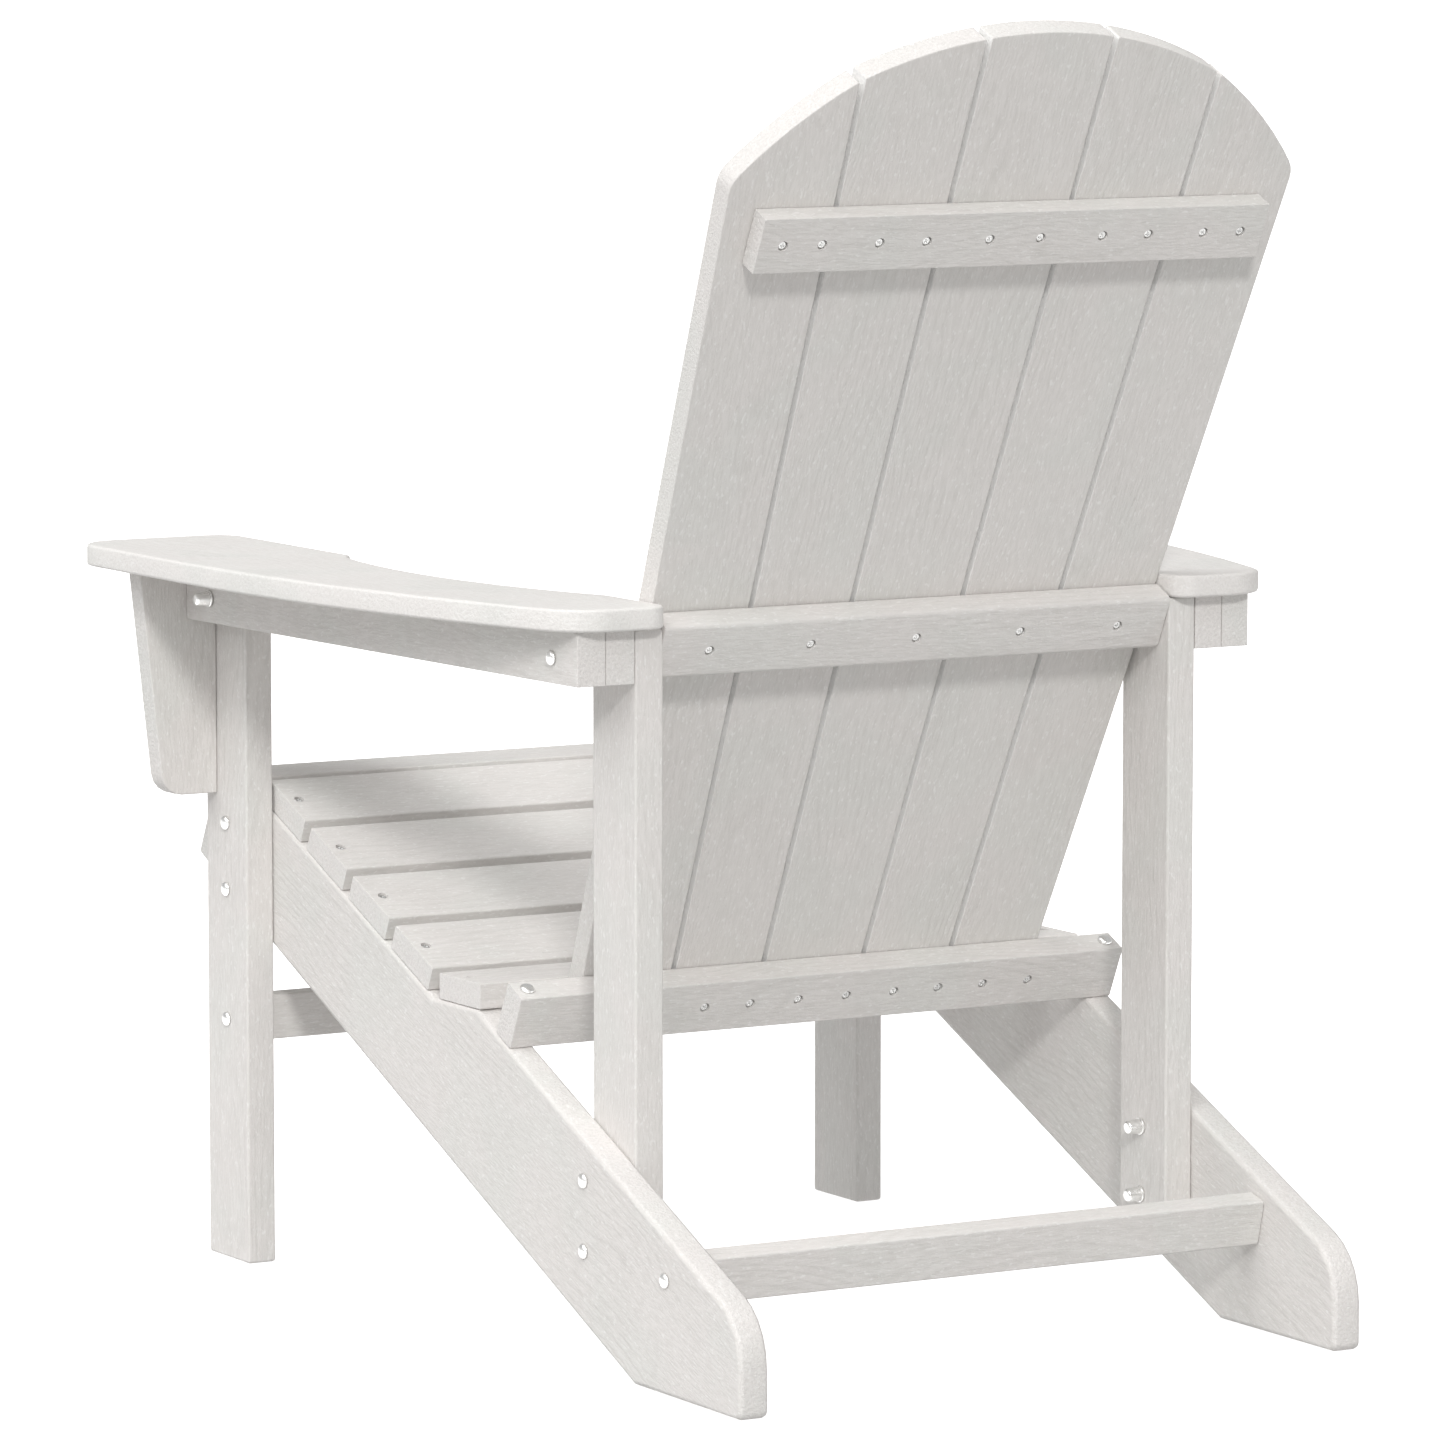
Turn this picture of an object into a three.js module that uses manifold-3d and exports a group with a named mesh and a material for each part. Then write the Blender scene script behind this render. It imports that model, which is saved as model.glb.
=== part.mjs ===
// Adirondack chair in bolted plastic lumber: raked side boards, a slatted seat that rolls over at the
// front, a five-board fan back on three rails, and wide arms carried on doubled rails and brackets.
// Millimetres, +Z up. The chair faces -Y and +X is the sitter's left.
// The origin is on the floor, under the middle of the chair's bounding box.

import * as THREE from 'three';
import { mergeVertices } from 'three/addons/utils/BufferGeometryUtils.js';
import Module from 'manifold-3d';

const wasm = await Module();
wasm.setup();

// ---- Driving dimensions -------------------------------------------------------------------------

const FRAME_WIDTH = 507;           // across the outer faces of the two side boards
const GAP = 0.3;                   // between boards that bear on each other

// Stock
const FRAME_STOCK = 22.5;          // side boards, legs, arm rails, lower and middle back rails
const SLAT_STOCK = 19;             // seat and back slats, brackets and stretchers
const ARM_STOCK = 16;              // arms and upper back rail

// Rounded edges
const SLAT_EDGE = 1.5;             // seat slats
const BACK_EDGE = 0.8;             // back slats
const SIDE_EDGE = 3.5;             // side boards
const LEG_EDGE = 1.8;
const ARM_EDGE = 2.2;
const BRACKET_EDGE = 0.9;
const ARM_RAIL_EDGE = 0.6;
const LOWER_RAIL_EDGE = 1.4;
const MIDDLE_RAIL_EDGE = 3.4;
const UPPER_RAIL_EDGE = 0.8;
const STRETCHER_EDGE = 1.8;
const CUT_EDGE = 0.4;              // ends that are sawn square
const CORNER_RADIUS = 1.4;         // corners of sawn outlines
const CORNER_OVER_EDGE = 1.3;      // least corner radius over the radius of the edge that runs round it

// Seat, along Y from the front top edge of its first raked slat
const SEAT_FRONT = -223.6;         // in the construction frame
const SEAT_HEIGHT = 362.7;
const SEAT_DEPTH = 329.2;          // level distance to the rear edge of the rear slat
const SEAT_SLAT_GAP = 10.4;
const RAKED_SLATS = 4;
const SEAT_SLAT_INSET = 1.5;       // slat ends inside the side boards' outer faces
const APRON_TILT = 64;             // degrees, the lowest front slat
const BEND_CLEARANCE = 0.8;        // between the inner edges of two slats at a bend

// Side boards
const SIDE_DROP = 121;             // seat's front edge straight down to the lower edge
const SIDE_TO_SEAT_RAKE = 0.6;     // degrees, how much steeper the lower edge is than the seat
const FOOT_SETBACK = 224.1;        // seat's rear edge to the front of the foot
const FOOT_LENGTH = 146.6;
const HEEL_RADIUS = 62;            // round top of the heel
const TOE_RADIUS = 6;
const NOSE_RADIUS = 9;

// Back, measured along the lean from the underside of the lower rail
const BACK_LEAN = 25.3;            // degrees
const BACK_CLEARANCE = 5.7;        // rear seat slat to the lower ends of the back slats
const RAIL_BED_LAP = 3.7;          // how far the rail's bed runs under the rear seat slat
const RAIL_HEIGHT = 42;
const BACK_HEIGHT = 787;           // to the top of the arch
const UPPER_RAIL_DROP = 171.1;     // top of the arch to the underside of the upper rail
const UPPER_RAIL_INSET = 21.4;     // rail ends inside the back's outer edges
const MIDDLE_RAIL_DROP = 13.9;     // underside of the arms to the middle of the middle rail
const BACK_SIDE_CLEARANCE = 1;     // between the back and the rear legs at the middle rail
const BACK_SHARES = [0.2189, 0.6135, 1];            // slat boundaries there, of the half width
const BACK_FLARES = [0.0121, 0.0374, 0.0572];       // how fast each boundary opens upwards
const ARCH_SHARE = 1.562;          // radius of the arch over the half width at the middle rail
const SHOULDER_DROP = 110;         // top of the arch to the shoulder corner
const SHOULDER_RADIUS = 20;
const BACK_SLAT_GAP = 4;

// Legs
const ARM_ABOVE_SEAT = 157.7;      // seat's front edge to the underside of the arms
const FRONT_LEG_SETBACK = 8.5;     // seat's front edge to the legs' rear faces
const FRONT_LEG_DEPTH = 66;
const REAR_LEG_DEPTH = 61;
const REAR_LEG_PAST_RAIL = 15.7;   // middle of the middle rail to the legs' rear faces
const REAR_LEG_TAIL = 28;          // square-cut lower end below the lower bolt

// Arms
const ARM_OUTER_OVERHANG = 83.7;   // past the front legs' outer faces
const ARM_INNER_OVERHANG = 26.3;   // past the front legs' inner faces, ahead of the step
const ARM_FRONT_OVERHANG = 54.9;   // past the front legs' front faces
const ARM_REAR_OVERHANG = 12.5;    // past the rear legs' rear faces
const ARM_STEP_SETBACK = 76.1;     // front legs' rear faces to the step in the inner edge
const ARM_STEP_DEPTH = 9;
const ARM_STEP_RADIUS = 3;
const ARM_WAIST = 22.5;            // how far the hollow inner edge goes past the front inner edge
const ARM_WAIST_SETBACK = 139;     // step to the deepest point of the hollow
const ARM_HOLLOW_RADIUS = 600;
const ARM_SWEEP_SETBACK = 65;      // front legs' rear faces to the start of the outer sweep
const ARM_SWEEP_RADIUS = 1400;
const ARM_TAIL_LENGTH = 58;        // straight end of the outer edge, with its rounded corner
const ARM_TAIL_RADIUS = 56;
const ARM_FRONT_RADII = [34, 22];  // outer and inner front corners
const ARM_TAIL_INNER_RADIUS = 15;
const ARM_RAIL_HEIGHT = 38;

// Brackets under the arms
const BRACKET_HEIGHT = 170;
const BRACKET_TOP_WIDTH = 63;
const BRACKET_FOOT_WIDTH = 44.5;
const BRACKET_RADIUS = 17;

// Stretchers
const STRETCHER_HEIGHT = 34;
const FRONT_STRETCHER_DROP = 71;   // below the side boards, at the front legs
const REAR_STRETCHER_SETBACK = 44.3;   // behind the front of the foot
const REAR_STRETCHER_DROP = 31.1;  // below the side boards' top edge
const REAR_STRETCHER_TILT = 14;    // degrees

// Fasteners
const BOLT_RADIUS = 3;
const HEAD_RADIUS = 5.4;
const HEAD_HEIGHT = 3.4;
const WASHER_RADIUS = 6.2;
const WASHER_HEIGHT = 1.5;
const NUT_RADIUS = 5.6;            // cap nut, where it meets its washer
const NUT_HEIGHT = 8.9;            // its tapered wall
const CAP_RADIUS = 4.7;            // where the wall ends and its rounded tip starts
const CAP_HEIGHT = 1.7;
const BORE_CLEARANCE = 0.35;
const BOLT_SIDES = 10;
const SCREW_SIDES = 8;
const LAG_LENGTH = 60;             // bolts that bite into end grain
const LEG_BOLT_DROP = 16.1;        // upper front-leg bolt below the seat slats' bed
const LEG_BOLT_RISE = 26.9;        // lower front-leg bolt above the side board's lower edge
const REAR_LEG_BOLT_RISES = [102.1, 52.3];
const REAR_LEG_BOLT_SETBACK = 33;  // bolt line ahead of the rear leg's rear face
const ARM_BOLT_DROP = 20;          // below the top of the arm rails
const ARM_FRONT_BOLT_SETBACK = 10.7;
const SCREW_RADIUS = 2;
const SCREW_HEAD_RADIUS = 3.7;
const SCREW_HEAD_HEIGHT = 2;
const SCREW_SINK = 0.8;            // screw head below the board's face
const SCREW_TIP_COVER = 4;         // of slat left ahead of a rail screw's tip
const PILOT_CLEARANCE = 0.3;

// Where the rail screws go, as shares across the middle, inner and outer back slats
const UPPER_SCREWS = [[0.417], [0.245, 0.664], [0.177, 0.535]];
const MIDDLE_SCREWS = [[0], [0.5], [0.513]];
const LOWER_SCREWS = [[0.484], [0.251, 0.758], [0.273, 0.798]];

// ---- Fits worked out from the above -------------------------------------------------------------

const radians = THREE.MathUtils.degToRad;

const sideOuter = FRAME_WIDTH / 2;
const sideInner = sideOuter - FRAME_STOCK;
const sideCentre = (sideOuter + sideInner) / 2;
const frontLegInner = sideOuter + GAP;
const frontLegOuter = frontLegInner + FRAME_STOCK;
const frontLegRear = SEAT_FRONT + FRONT_LEG_SETBACK;
const frontLegFront = frontLegRear - FRONT_LEG_DEPTH;
const frontLegMiddle = frontLegRear - FRONT_LEG_DEPTH / 2;
const rearLegOuter = sideInner - GAP;
const rearLegInner = rearLegOuter - FRAME_STOCK;
const legTop = SEAT_HEIGHT + ARM_ABOVE_SEAT;

// The lower edge of a side board runs from under the seat's front edge to the front of its foot.
const seatRear = SEAT_FRONT + SEAT_DEPTH;
const footFront = seatRear + FOOT_SETBACK;
const heelRear = footFront + FOOT_LENGTH;
const sideRise = SEAT_HEIGHT - SIDE_DROP;
const sideRake = THREE.MathUtils.radToDeg(Math.atan2(sideRise, footFront - SEAT_FRONT));
const seatRake = sideRake - SIDE_TO_SEAT_RAKE;

// Seat slats share the seat's depth: the raked ones, the bend behind them and one level slat.
const rakedShare = Math.cos(radians(seatRake));
const gapsDepth = SEAT_SLAT_GAP * ((RAKED_SLATS - 1) * rakedShare + Math.cos(radians(seatRake / 2)));
const seatSlatWidth = (SEAT_DEPTH - gapsDepth) / (RAKED_SLATS * rakedShare + 1);

// ---- Materials ----------------------------------------------------------------------------------

const lumberTones = { slat: 0xecebe6, frame: 0xe8e6e0, arm: 0xebe9e4 };

function lumber(tone) {
  return new THREE.MeshStandardMaterial({ color: lumberTones[tone], roughness: 0.62, metalness: 0 });
}

function steel() {
  return new THREE.MeshStandardMaterial({ color: 0xd9d9d6, roughness: 0.24, metalness: 0.95 });
}

// ---- Solids -------------------------------------------------------------------------------------

function toSolid(geometry) {
  const bare = geometry.clone();
  bare.deleteAttribute('normal');
  bare.deleteAttribute('uv');
  const welded = mergeVertices(bare, 1e-4);
  const mesh = new wasm.Mesh({
    numProp: 3,
    vertProperties: new Float32Array(welded.attributes.position.array),
    triVerts: new Uint32Array(welded.index.array),
  });
  return new wasm.Manifold(mesh);
}

function toGeometry(solid) {
  const mesh = solid.getMesh();
  const geometry = new THREE.BufferGeometry();
  geometry.setAttribute('position', new THREE.BufferAttribute(mesh.vertProperties, 3));
  geometry.setIndex(new THREE.BufferAttribute(mesh.triVerts, 1));
  geometry.computeVertexNormals();
  return geometry;
}

// A round bar from one point to another.
function rod(start, end, radius, sides) {
  const span = end.clone().sub(start);
  const geometry = new THREE.CylinderGeometry(radius, radius, span.length(), sides);
  const turn = new THREE.Quaternion().setFromUnitVectors(new THREE.Vector3(0, 1, 0), span.normalize());
  geometry.applyQuaternion(turn);
  const middle = start.clone().add(end).multiplyScalar(0.5);
  return geometry.translate(middle.x, middle.y, middle.z);
}

// Removes a round hole, given in the chair's own coordinates, from a placed board.
function bore(mesh, start, end, radius, sides) {
  const cutter = rod(mesh.worldToLocal(start.clone()), mesh.worldToLocal(end.clone()), radius, sides);
  mesh.geometry = toGeometry(toSolid(mesh.geometry).subtract(toSolid(cutter)));
}

// ---- Outlines -----------------------------------------------------------------------------------

const EDGE_STEPS = 2;              // flats round an edge

// Rounds the corners of a polygon given as [x, y, radius]; a corner without a radius stays sharp.
function roundedOutline(corners, steps = 2) {
  const points = [];
  corners.forEach(([x, y, radius = 0], index) => {
    const corner = new THREE.Vector2(x, y);
    const before = new THREE.Vector2(...corners.at(index - 1)).sub(corner);
    const after = new THREE.Vector2(...corners[(index + 1) % corners.length]).sub(corner);
    const limit = Math.min(before.length(), after.length()) / 2;
    const bend = Math.abs(before.angleTo(after));
    const reach = Math.min(radius / Math.tan(bend / 2), limit);
    if (reach < 1e-6) {
      points.push(corner);
      return;
    }
    const start = corner.clone().addScaledVector(before.normalize(), reach);
    const end = corner.clone().addScaledVector(after.normalize(), reach);
    const inward = before.add(after).normalize();
    const centre = corner.clone().addScaledVector(inward, reach / Math.cos(bend / 2));
    const from = start.sub(centre);
    const sweep = wrapAngle(end.sub(centre).angle() - from.angle());
    for (let step = 0; step <= steps; step += 1) {
      points.push(from.clone().rotateAround(new THREE.Vector2(), sweep * step / steps).add(centre));
    }
  });
  return points;
}

function wrapAngle(angle) {
  return Math.atan2(Math.sin(angle), Math.cos(angle));
}

// Points of a circle about a centre, by angle in radians.
function arc(centreX, centreY, radius, startAngle, endAngle, steps) {
  const points = [];
  for (let step = 0; step <= steps; step += 1) {
    const angle = startAngle + (endAngle - startAngle) * step / steps;
    points.push([centreX + radius * Math.cos(angle), centreY + radius * Math.sin(angle)]);
  }
  return points;
}

function rectangle(left, bottom, right, top, radius) {
  return roundedOutline([
    [left, bottom, radius],
    [right, bottom, radius],
    [right, top, radius],
    [left, top, radius],
  ]);
}

// The outline drawn out along Z from 0 to the given depth, with rounded edges at both ends.
function drawnOut(outline, depth, edge, steps) {
  const geometry = new THREE.ExtrudeGeometry(new THREE.Shape(outline), {
    depth: depth - 2 * edge,
    bevelThickness: edge,
    bevelSize: edge,
    bevelOffset: -edge,
    bevelSegments: steps,
  });
  return geometry.translate(0, 0, edge);
}

function boardMesh(name, geometry, tone) {
  const mesh = new THREE.Mesh(toGeometry(toSolid(geometry)), lumber(tone));
  mesh.name = name;
  return mesh;
}

// A board sawn to an outline in X and Y, its thickness from 0 upwards along Z.
function board(name, outline, thickness, edge, tone) {
  return boardMesh(name, drawnOut(outline, thickness, edge, EDGE_STEPS), tone);
}

// A length of stock with rounded long edges and square-sawn ends: X along it, centred, its width from 0
// upwards along Y and its thickness from 0 upwards along Z.
function bar(name, length, width, thickness, edge, tone) {
  const geometry = drawnOut(rectangle(0, 0, width, thickness, edge), length, CUT_EDGE, 1);
  geometry.applyMatrix4(new THREE.Matrix4().makeBasis(
    new THREE.Vector3(0, 1, 0),
    new THREE.Vector3(0, 0, 1),
    new THREE.Vector3(1, 0, 0),
  ));
  return boardMesh(name, geometry.translate(-length / 2, 0, 0), tone);
}

// A board whose outline is given in Y and Z, standing between two X values on one side of the chair.
function sideBoard(name, outline, edge, inner, side) {
  const mesh = board(name, outline, FRAME_STOCK, edge, 'frame');
  mesh.rotation.setFromRotationMatrix(new THREE.Matrix4().makeBasis(
    new THREE.Vector3(0, 1, 0),
    new THREE.Vector3(0, 0, 1),
    new THREE.Vector3(1, 0, 0),
  ));
  mesh.position.x = side > 0 ? inner : -inner - FRAME_STOCK;
  return mesh;
}

// ---- Lines in the side view, as a point and a direction -----------------------------------------

function line(y, z, fallDegrees) {
  const fall = radians(fallDegrees);
  return { point: new THREE.Vector2(y, z), along: new THREE.Vector2(Math.cos(fall), -Math.sin(fall)) };
}

// The same line moved square to itself, upwards for a positive distance.
function offset({ point, along }, distance) {
  const normal = new THREE.Vector2(-along.y, along.x);
  return { point: point.clone().addScaledVector(normal, distance), along };
}

function meet(first, second) {
  const between = second.point.clone().sub(first.point);
  const distance = between.cross(second.along) / first.along.cross(second.along);
  return first.point.clone().addScaledVector(first.along, distance);
}

// ---- Seat slats in the side view ----------------------------------------------------------------

// Top front edge and fall of every seat slat, from the apron to the level rear slat.
function seatSlatPlaces() {
  const places = [];
  let front = new THREE.Vector2(SEAT_FRONT, SEAT_HEIGHT);
  for (let index = 0; index < RAKED_SLATS; index += 1) {
    places.push({ front, fall: seatRake });
    const gap = index < RAKED_SLATS - 1 ? SEAT_SLAT_GAP : 0;
    front = step(front, seatRake, seatSlatWidth + gap);
  }
  places.push({ front: step(front, seatRake / 2, SEAT_SLAT_GAP), fall: 0 });
  const noseRear = step(places[0].front, seatRake / 2, -bendGap(seatRake));
  const noseFront = step(noseRear, 0, -seatSlatWidth);
  const apronTop = step(noseFront, -APRON_TILT / 2, -bendGap(APRON_TILT));
  const apronFront = step(apronTop, -APRON_TILT, -seatSlatWidth);
  places.unshift({ front: apronFront, fall: -APRON_TILT }, { front: noseFront, fall: 0 });
  return places;
}

// Gap between the top edges of two slats at a bend, whose lower edges close up towards each other.
function bendGap(bendDegrees) {
  return BEND_CLEARANCE + 2 * SLAT_STOCK * Math.tan(radians(bendDegrees / 2));
}

function step(point, fallDegrees, distance) {
  return point.clone().addScaledVector(line(0, 0, fallDegrees).along, distance);
}

const slatPlaces = seatSlatPlaces();
const [apronPlace, nosePlace, firstRakedPlace] = slatPlaces;
const lastPlace = slatPlaces.at(-1);

function slatBed({ front, fall }) {
  return offset(line(front.x, front.y, fall), -SLAT_STOCK - GAP);
}

function seatSlats() {
  const length = FRAME_WIDTH - 2 * SEAT_SLAT_INSET;
  return slatPlaces.map(({ front, fall }, index) => {
    const mesh = bar(`seat_slat_${index + 1}`, length, seatSlatWidth, SLAT_STOCK, SLAT_EDGE, 'slat');
    const foot = offset(line(front.x, front.y, fall), -SLAT_STOCK).point;
    mesh.position.set(0, foot.x, foot.y);
    mesh.rotation.x = -radians(fall);
    mesh.updateMatrixWorld();
    for (const side of [1, -1]) {
      sinkScrewHead(mesh, new THREE.Vector3(side * sideCentre, seatSlatWidth / 2, SLAT_STOCK));
    }
    return mesh;
  });
}

// A flat-bottomed pocket for a screw head, in the board's own coordinates.
function sinkScrewHead(mesh, top) {
  const depth = SCREW_HEAD_HEIGHT + SCREW_SINK + GAP;
  const floor = top.clone().setZ(top.z - depth);
  const mouth = top.clone().setZ(top.z + 1);
  const cutter = rod(floor, mouth, SCREW_HEAD_RADIUS + PILOT_CLEARANCE, SCREW_SIDES);
  mesh.geometry = toGeometry(toSolid(mesh.geometry).subtract(toSolid(cutter)));
}

// ---- Side boards --------------------------------------------------------------------------------

const sideBottom = line(footFront, 0, sideRake);
const rearBed = slatBed(lastPlace);

// Rear lower edge of the lower back rail. Its bed falls to the rear from under the rear seat slat, and
// the side boards' top edges go on from there to the heel.
const backSetback = BACK_CLEARANCE + (FRAME_STOCK + SLAT_STOCK + GAP) * Math.cos(radians(BACK_LEAN));
const railFoot = new THREE.Vector2(
  seatRear + backSetback,
  rearBed.point.y - (backSetback + RAIL_BED_LAP) * Math.tan(radians(BACK_LEAN)),
);
const railBed = line(railFoot.x, railFoot.y, BACK_LEAN);
const sideTop = line(railFoot.x, railFoot.y, sideRake);

// Height of a line in the side view at a distance along Y.
function heightAt(edge, y) {
  return meet(edge, { point: new THREE.Vector2(y, 0), along: new THREE.Vector2(0, 1) }).y;
}

function sideOutline() {
  const railFront = meet(rearBed, railBed);
  const bedRear = meet(slatBed(firstRakedPlace), rearBed);
  const bedFront = meet(slatBed(nosePlace), slatBed(firstRakedPlace));
  const noseTop = meet(slatBed(apronPlace), slatBed(nosePlace));
  const noseFoot = meet(slatBed(apronPlace), sideBottom);
  return roundedOutline([
    [footFront, 0, TOE_RADIUS],
    [heelRear, 0, TOE_RADIUS],
    [heelRear, heightAt(sideTop, heelRear), HEEL_RADIUS],
    [railFoot.x, railFoot.y],
    [railFront.x, railFront.y],
    [bedRear.x, bedRear.y],
    [bedFront.x, bedFront.y],
    [noseTop.x, noseTop.y, TOE_RADIUS],
    [noseFoot.x, noseFoot.y, NOSE_RADIUS],
  ], 5);
}

// ---- Back ---------------------------------------------------------------------------------------

// The back is built upright: X across, Z up the lean from the lower rail's underside and Y to the rear,
// with Y = 0 on the rear faces of the slats. The group then leans it onto the side boards.
const back = new THREE.Group();
const railDepth = FRAME_STOCK + GAP;
back.rotation.x = -radians(BACK_LEAN);
back.position.set(0, railFoot.x, railFoot.y);
back.updateMatrixWorld();
back.position.copy(back.localToWorld(new THREE.Vector3(0, -railDepth, GAP)));
back.updateMatrixWorld();

// The middle rail sits just under the arms, and the rear legs stand where it passes between them.
const underRail = back.localToWorld(new THREE.Vector3(0, GAP + FRAME_STOCK / 2, 0));
const middleRailZ = legTop - MIDDLE_RAIL_DROP;
const middleRailRise = (middleRailZ - underRail.z) / Math.cos(radians(BACK_LEAN));
const middleRailHeight = middleRailRise - RAIL_HEIGHT / 2;
const rearLegRear = underRail.y + middleRailRise * Math.sin(radians(BACK_LEAN)) + REAR_LEG_PAST_RAIL;
const rearLegFront = rearLegRear - REAR_LEG_DEPTH;
const rearLegBoltY = rearLegRear - REAR_LEG_BOLT_SETBACK;
const rearLegBoltHeights = REAR_LEG_BOLT_RISES.map((rise) => heightAt(sideBottom, rearLegBoltY) + rise);

const upperRailHeight = BACK_HEIGHT - UPPER_RAIL_DROP;
const backHalfWidth = rearLegInner - BACK_SIDE_CLEARANCE;
const archRadius = ARCH_SHARE * backHalfWidth;

// Distance from the middle to a boundary between back slats, at a height along the lean.
function boundary(index, height) {
  return BACK_SHARES[index] * backHalfWidth + BACK_FLARES[index] * (height - middleRailRise);
}

function archHeight(x) {
  return BACK_HEIGHT - archRadius + Math.sqrt(archRadius ** 2 - x ** 2);
}

// Top edge of an inner slat between two distances from the middle, as part of the common arch.
function archedTop(from, to, steps) {
  const points = [];
  for (let index = 0; index <= steps; index += 1) {
    const x = from + (to - from) * index / steps;
    points.push([x, archHeight(x), index % steps === 0 ? CORNER_RADIUS : 0]);
  }
  return points;
}

// Where a slanted slat edge runs into the arch, closing in on it from the arch's top.
const ARCH_ROUNDS = 20;

function edgeTop(index, shift) {
  let height = BACK_HEIGHT;
  for (let round = 0; round < ARCH_ROUNDS; round += 1) {
    height = archHeight(boundary(index, height) + shift);
  }
  return [boundary(index, height) + shift, height];
}

function centreSlatOutline() {
  const half = BACK_SLAT_GAP / 2;
  const foot = boundary(0, 0) - half;
  const [top] = edgeTop(0, -half);
  return [[-foot, 0, CORNER_RADIUS], [foot, 0, CORNER_RADIUS], ...archedTop(top, -top, 10)];
}

function innerSlatOutline() {
  const half = BACK_SLAT_GAP / 2;
  const [outerTop] = edgeTop(1, -half);
  const [innerTop] = edgeTop(0, half);
  return [
    [boundary(0, 0) + half, 0, CORNER_RADIUS],
    [boundary(1, 0) - half, 0, CORNER_RADIUS],
    ...archedTop(outerTop, innerTop, 8),
  ];
}

function outerSlatOutline() {
  const half = BACK_SLAT_GAP / 2;
  const [innerTop, innerHeight] = edgeTop(1, half);
  const shoulderHeight = BACK_HEIGHT - SHOULDER_DROP;
  const shoulder = new THREE.Vector2(boundary(2, shoulderHeight), shoulderHeight);
  const inner = new THREE.Vector2(innerTop, innerHeight);
  const chord = inner.clone().sub(shoulder);
  const rise = Math.asin(chord.length() / 2 / archRadius);
  const inward = new THREE.Vector2(-chord.y, chord.x).normalize();
  const centre = inner.clone().add(shoulder).multiplyScalar(0.5);
  centre.addScaledVector(inward, archRadius * Math.cos(rise));
  const start = shoulder.clone().sub(centre).angle();
  const cut = arc(centre.x, centre.y, archRadius, start, start + 2 * rise, 6);
  cut[0].push(SHOULDER_RADIUS);
  cut.at(-1).push(CORNER_RADIUS);
  return [[boundary(1, 0) + half, 0, CORNER_RADIUS], [boundary(2, 0), 0, CORNER_RADIUS], ...cut];
}

function mirrored(corners) {
  return corners.map(([x, y, radius]) => [-x, y, radius]).reverse();
}

function backSlats() {
  const outer = outerSlatOutline();
  const inner = innerSlatOutline();
  const outlines = [outer, inner, centreSlatOutline(), mirrored(inner), mirrored(outer)];
  return outlines.map((corners, index) => {
    const outline = roundedOutline(corners, 3);
    const mesh = board(`back_slat_${index + 1}`, outline, SLAT_STOCK, BACK_EDGE, 'slat');
    mesh.rotation.x = Math.PI / 2;
    return mesh;
  });
}

function backRail(name, length, bottom, thickness, edge) {
  const mesh = bar(name, length, RAIL_HEIGHT, thickness, edge, 'frame');
  mesh.rotation.x = Math.PI / 2;
  mesh.position.set(0, thickness + GAP, bottom);
  return mesh;
}

// Distances of a rail's screws from the middle of the chair, on its left side.
function screwPlaces(shares, railBottom) {
  const height = railBottom + RAIL_HEIGHT / 2;
  return shares.flatMap((inSlat, index) => {
    const inner = index === 0 ? 0 : boundary(index - 1, height);
    const outer = boundary(index, height);
    return inSlat.map((share) => inner + (outer - inner) * share);
  });
}

// Screw heads sit in the rail's rear face, which is the face at the board's own Z = 0.
function sinkRailScrews(rail, places) {
  const both = places.flatMap((x) => (x === 0 ? [x] : [x, -x]));
  const depth = SCREW_HEAD_HEIGHT + SCREW_SINK + GAP;
  for (const x of both) {
    const cutter = rod(
      new THREE.Vector3(x, RAIL_HEIGHT / 2, depth),
      new THREE.Vector3(x, RAIL_HEIGHT / 2, -1),
      SCREW_HEAD_RADIUS + PILOT_CLEARANCE,
      SCREW_SIDES,
    );
    rail.geometry = toGeometry(toSolid(rail.geometry).subtract(toSolid(cutter)));
  }
}

// ---- Legs, arms and what carries them -----------------------------------------------------------

function frontLegOutline() {
  return rectangle(frontLegFront, 0, frontLegRear, legTop, CORNER_OVER_EDGE * LEG_EDGE);
}

function rearLegOutline() {
  const foot = rearLegBoltHeights.at(-1) - REAR_LEG_TAIL;
  return rectangle(rearLegFront, foot, rearLegRear, legTop, CORNER_OVER_EDGE * LEG_EDGE);
}

// Both arm rails follow this line, which runs in from the front leg to the rear leg: it is the face
// between them, at the front leg's outer face in front and one board outside the rear leg behind.
function railLineX(y) {
  const front = frontLegOuter + GAP;
  const rear = rearLegOuter + FRAME_STOCK + 2 * GAP;
  return front + (rear - front) * (y - frontLegRear) / (rearLegRear - frontLegRear);
}

function bracketRear() {
  return frontLegFront + SLAT_STOCK;
}

// A level board on edge under the arm, between two Y values, with its near face beside the rail line.
function armRail(name, side, frontY, rearY, nearOffset) {
  const corner = CORNER_OVER_EDGE * ARM_RAIL_EDGE;
  const corners = [
    [side * (railLineX(frontY) + nearOffset), frontY, corner],
    [side * (railLineX(frontY) + nearOffset + FRAME_STOCK), frontY, corner],
    [side * (railLineX(rearY) + nearOffset + FRAME_STOCK), rearY, corner],
    [side * (railLineX(rearY) + nearOffset), rearY, corner],
  ];
  const mesh = board(name, roundedOutline(corners), ARM_RAIL_HEIGHT, ARM_RAIL_EDGE, 'frame');
  mesh.position.z = legTop - ARM_RAIL_HEIGHT;
  return mesh;
}

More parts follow.
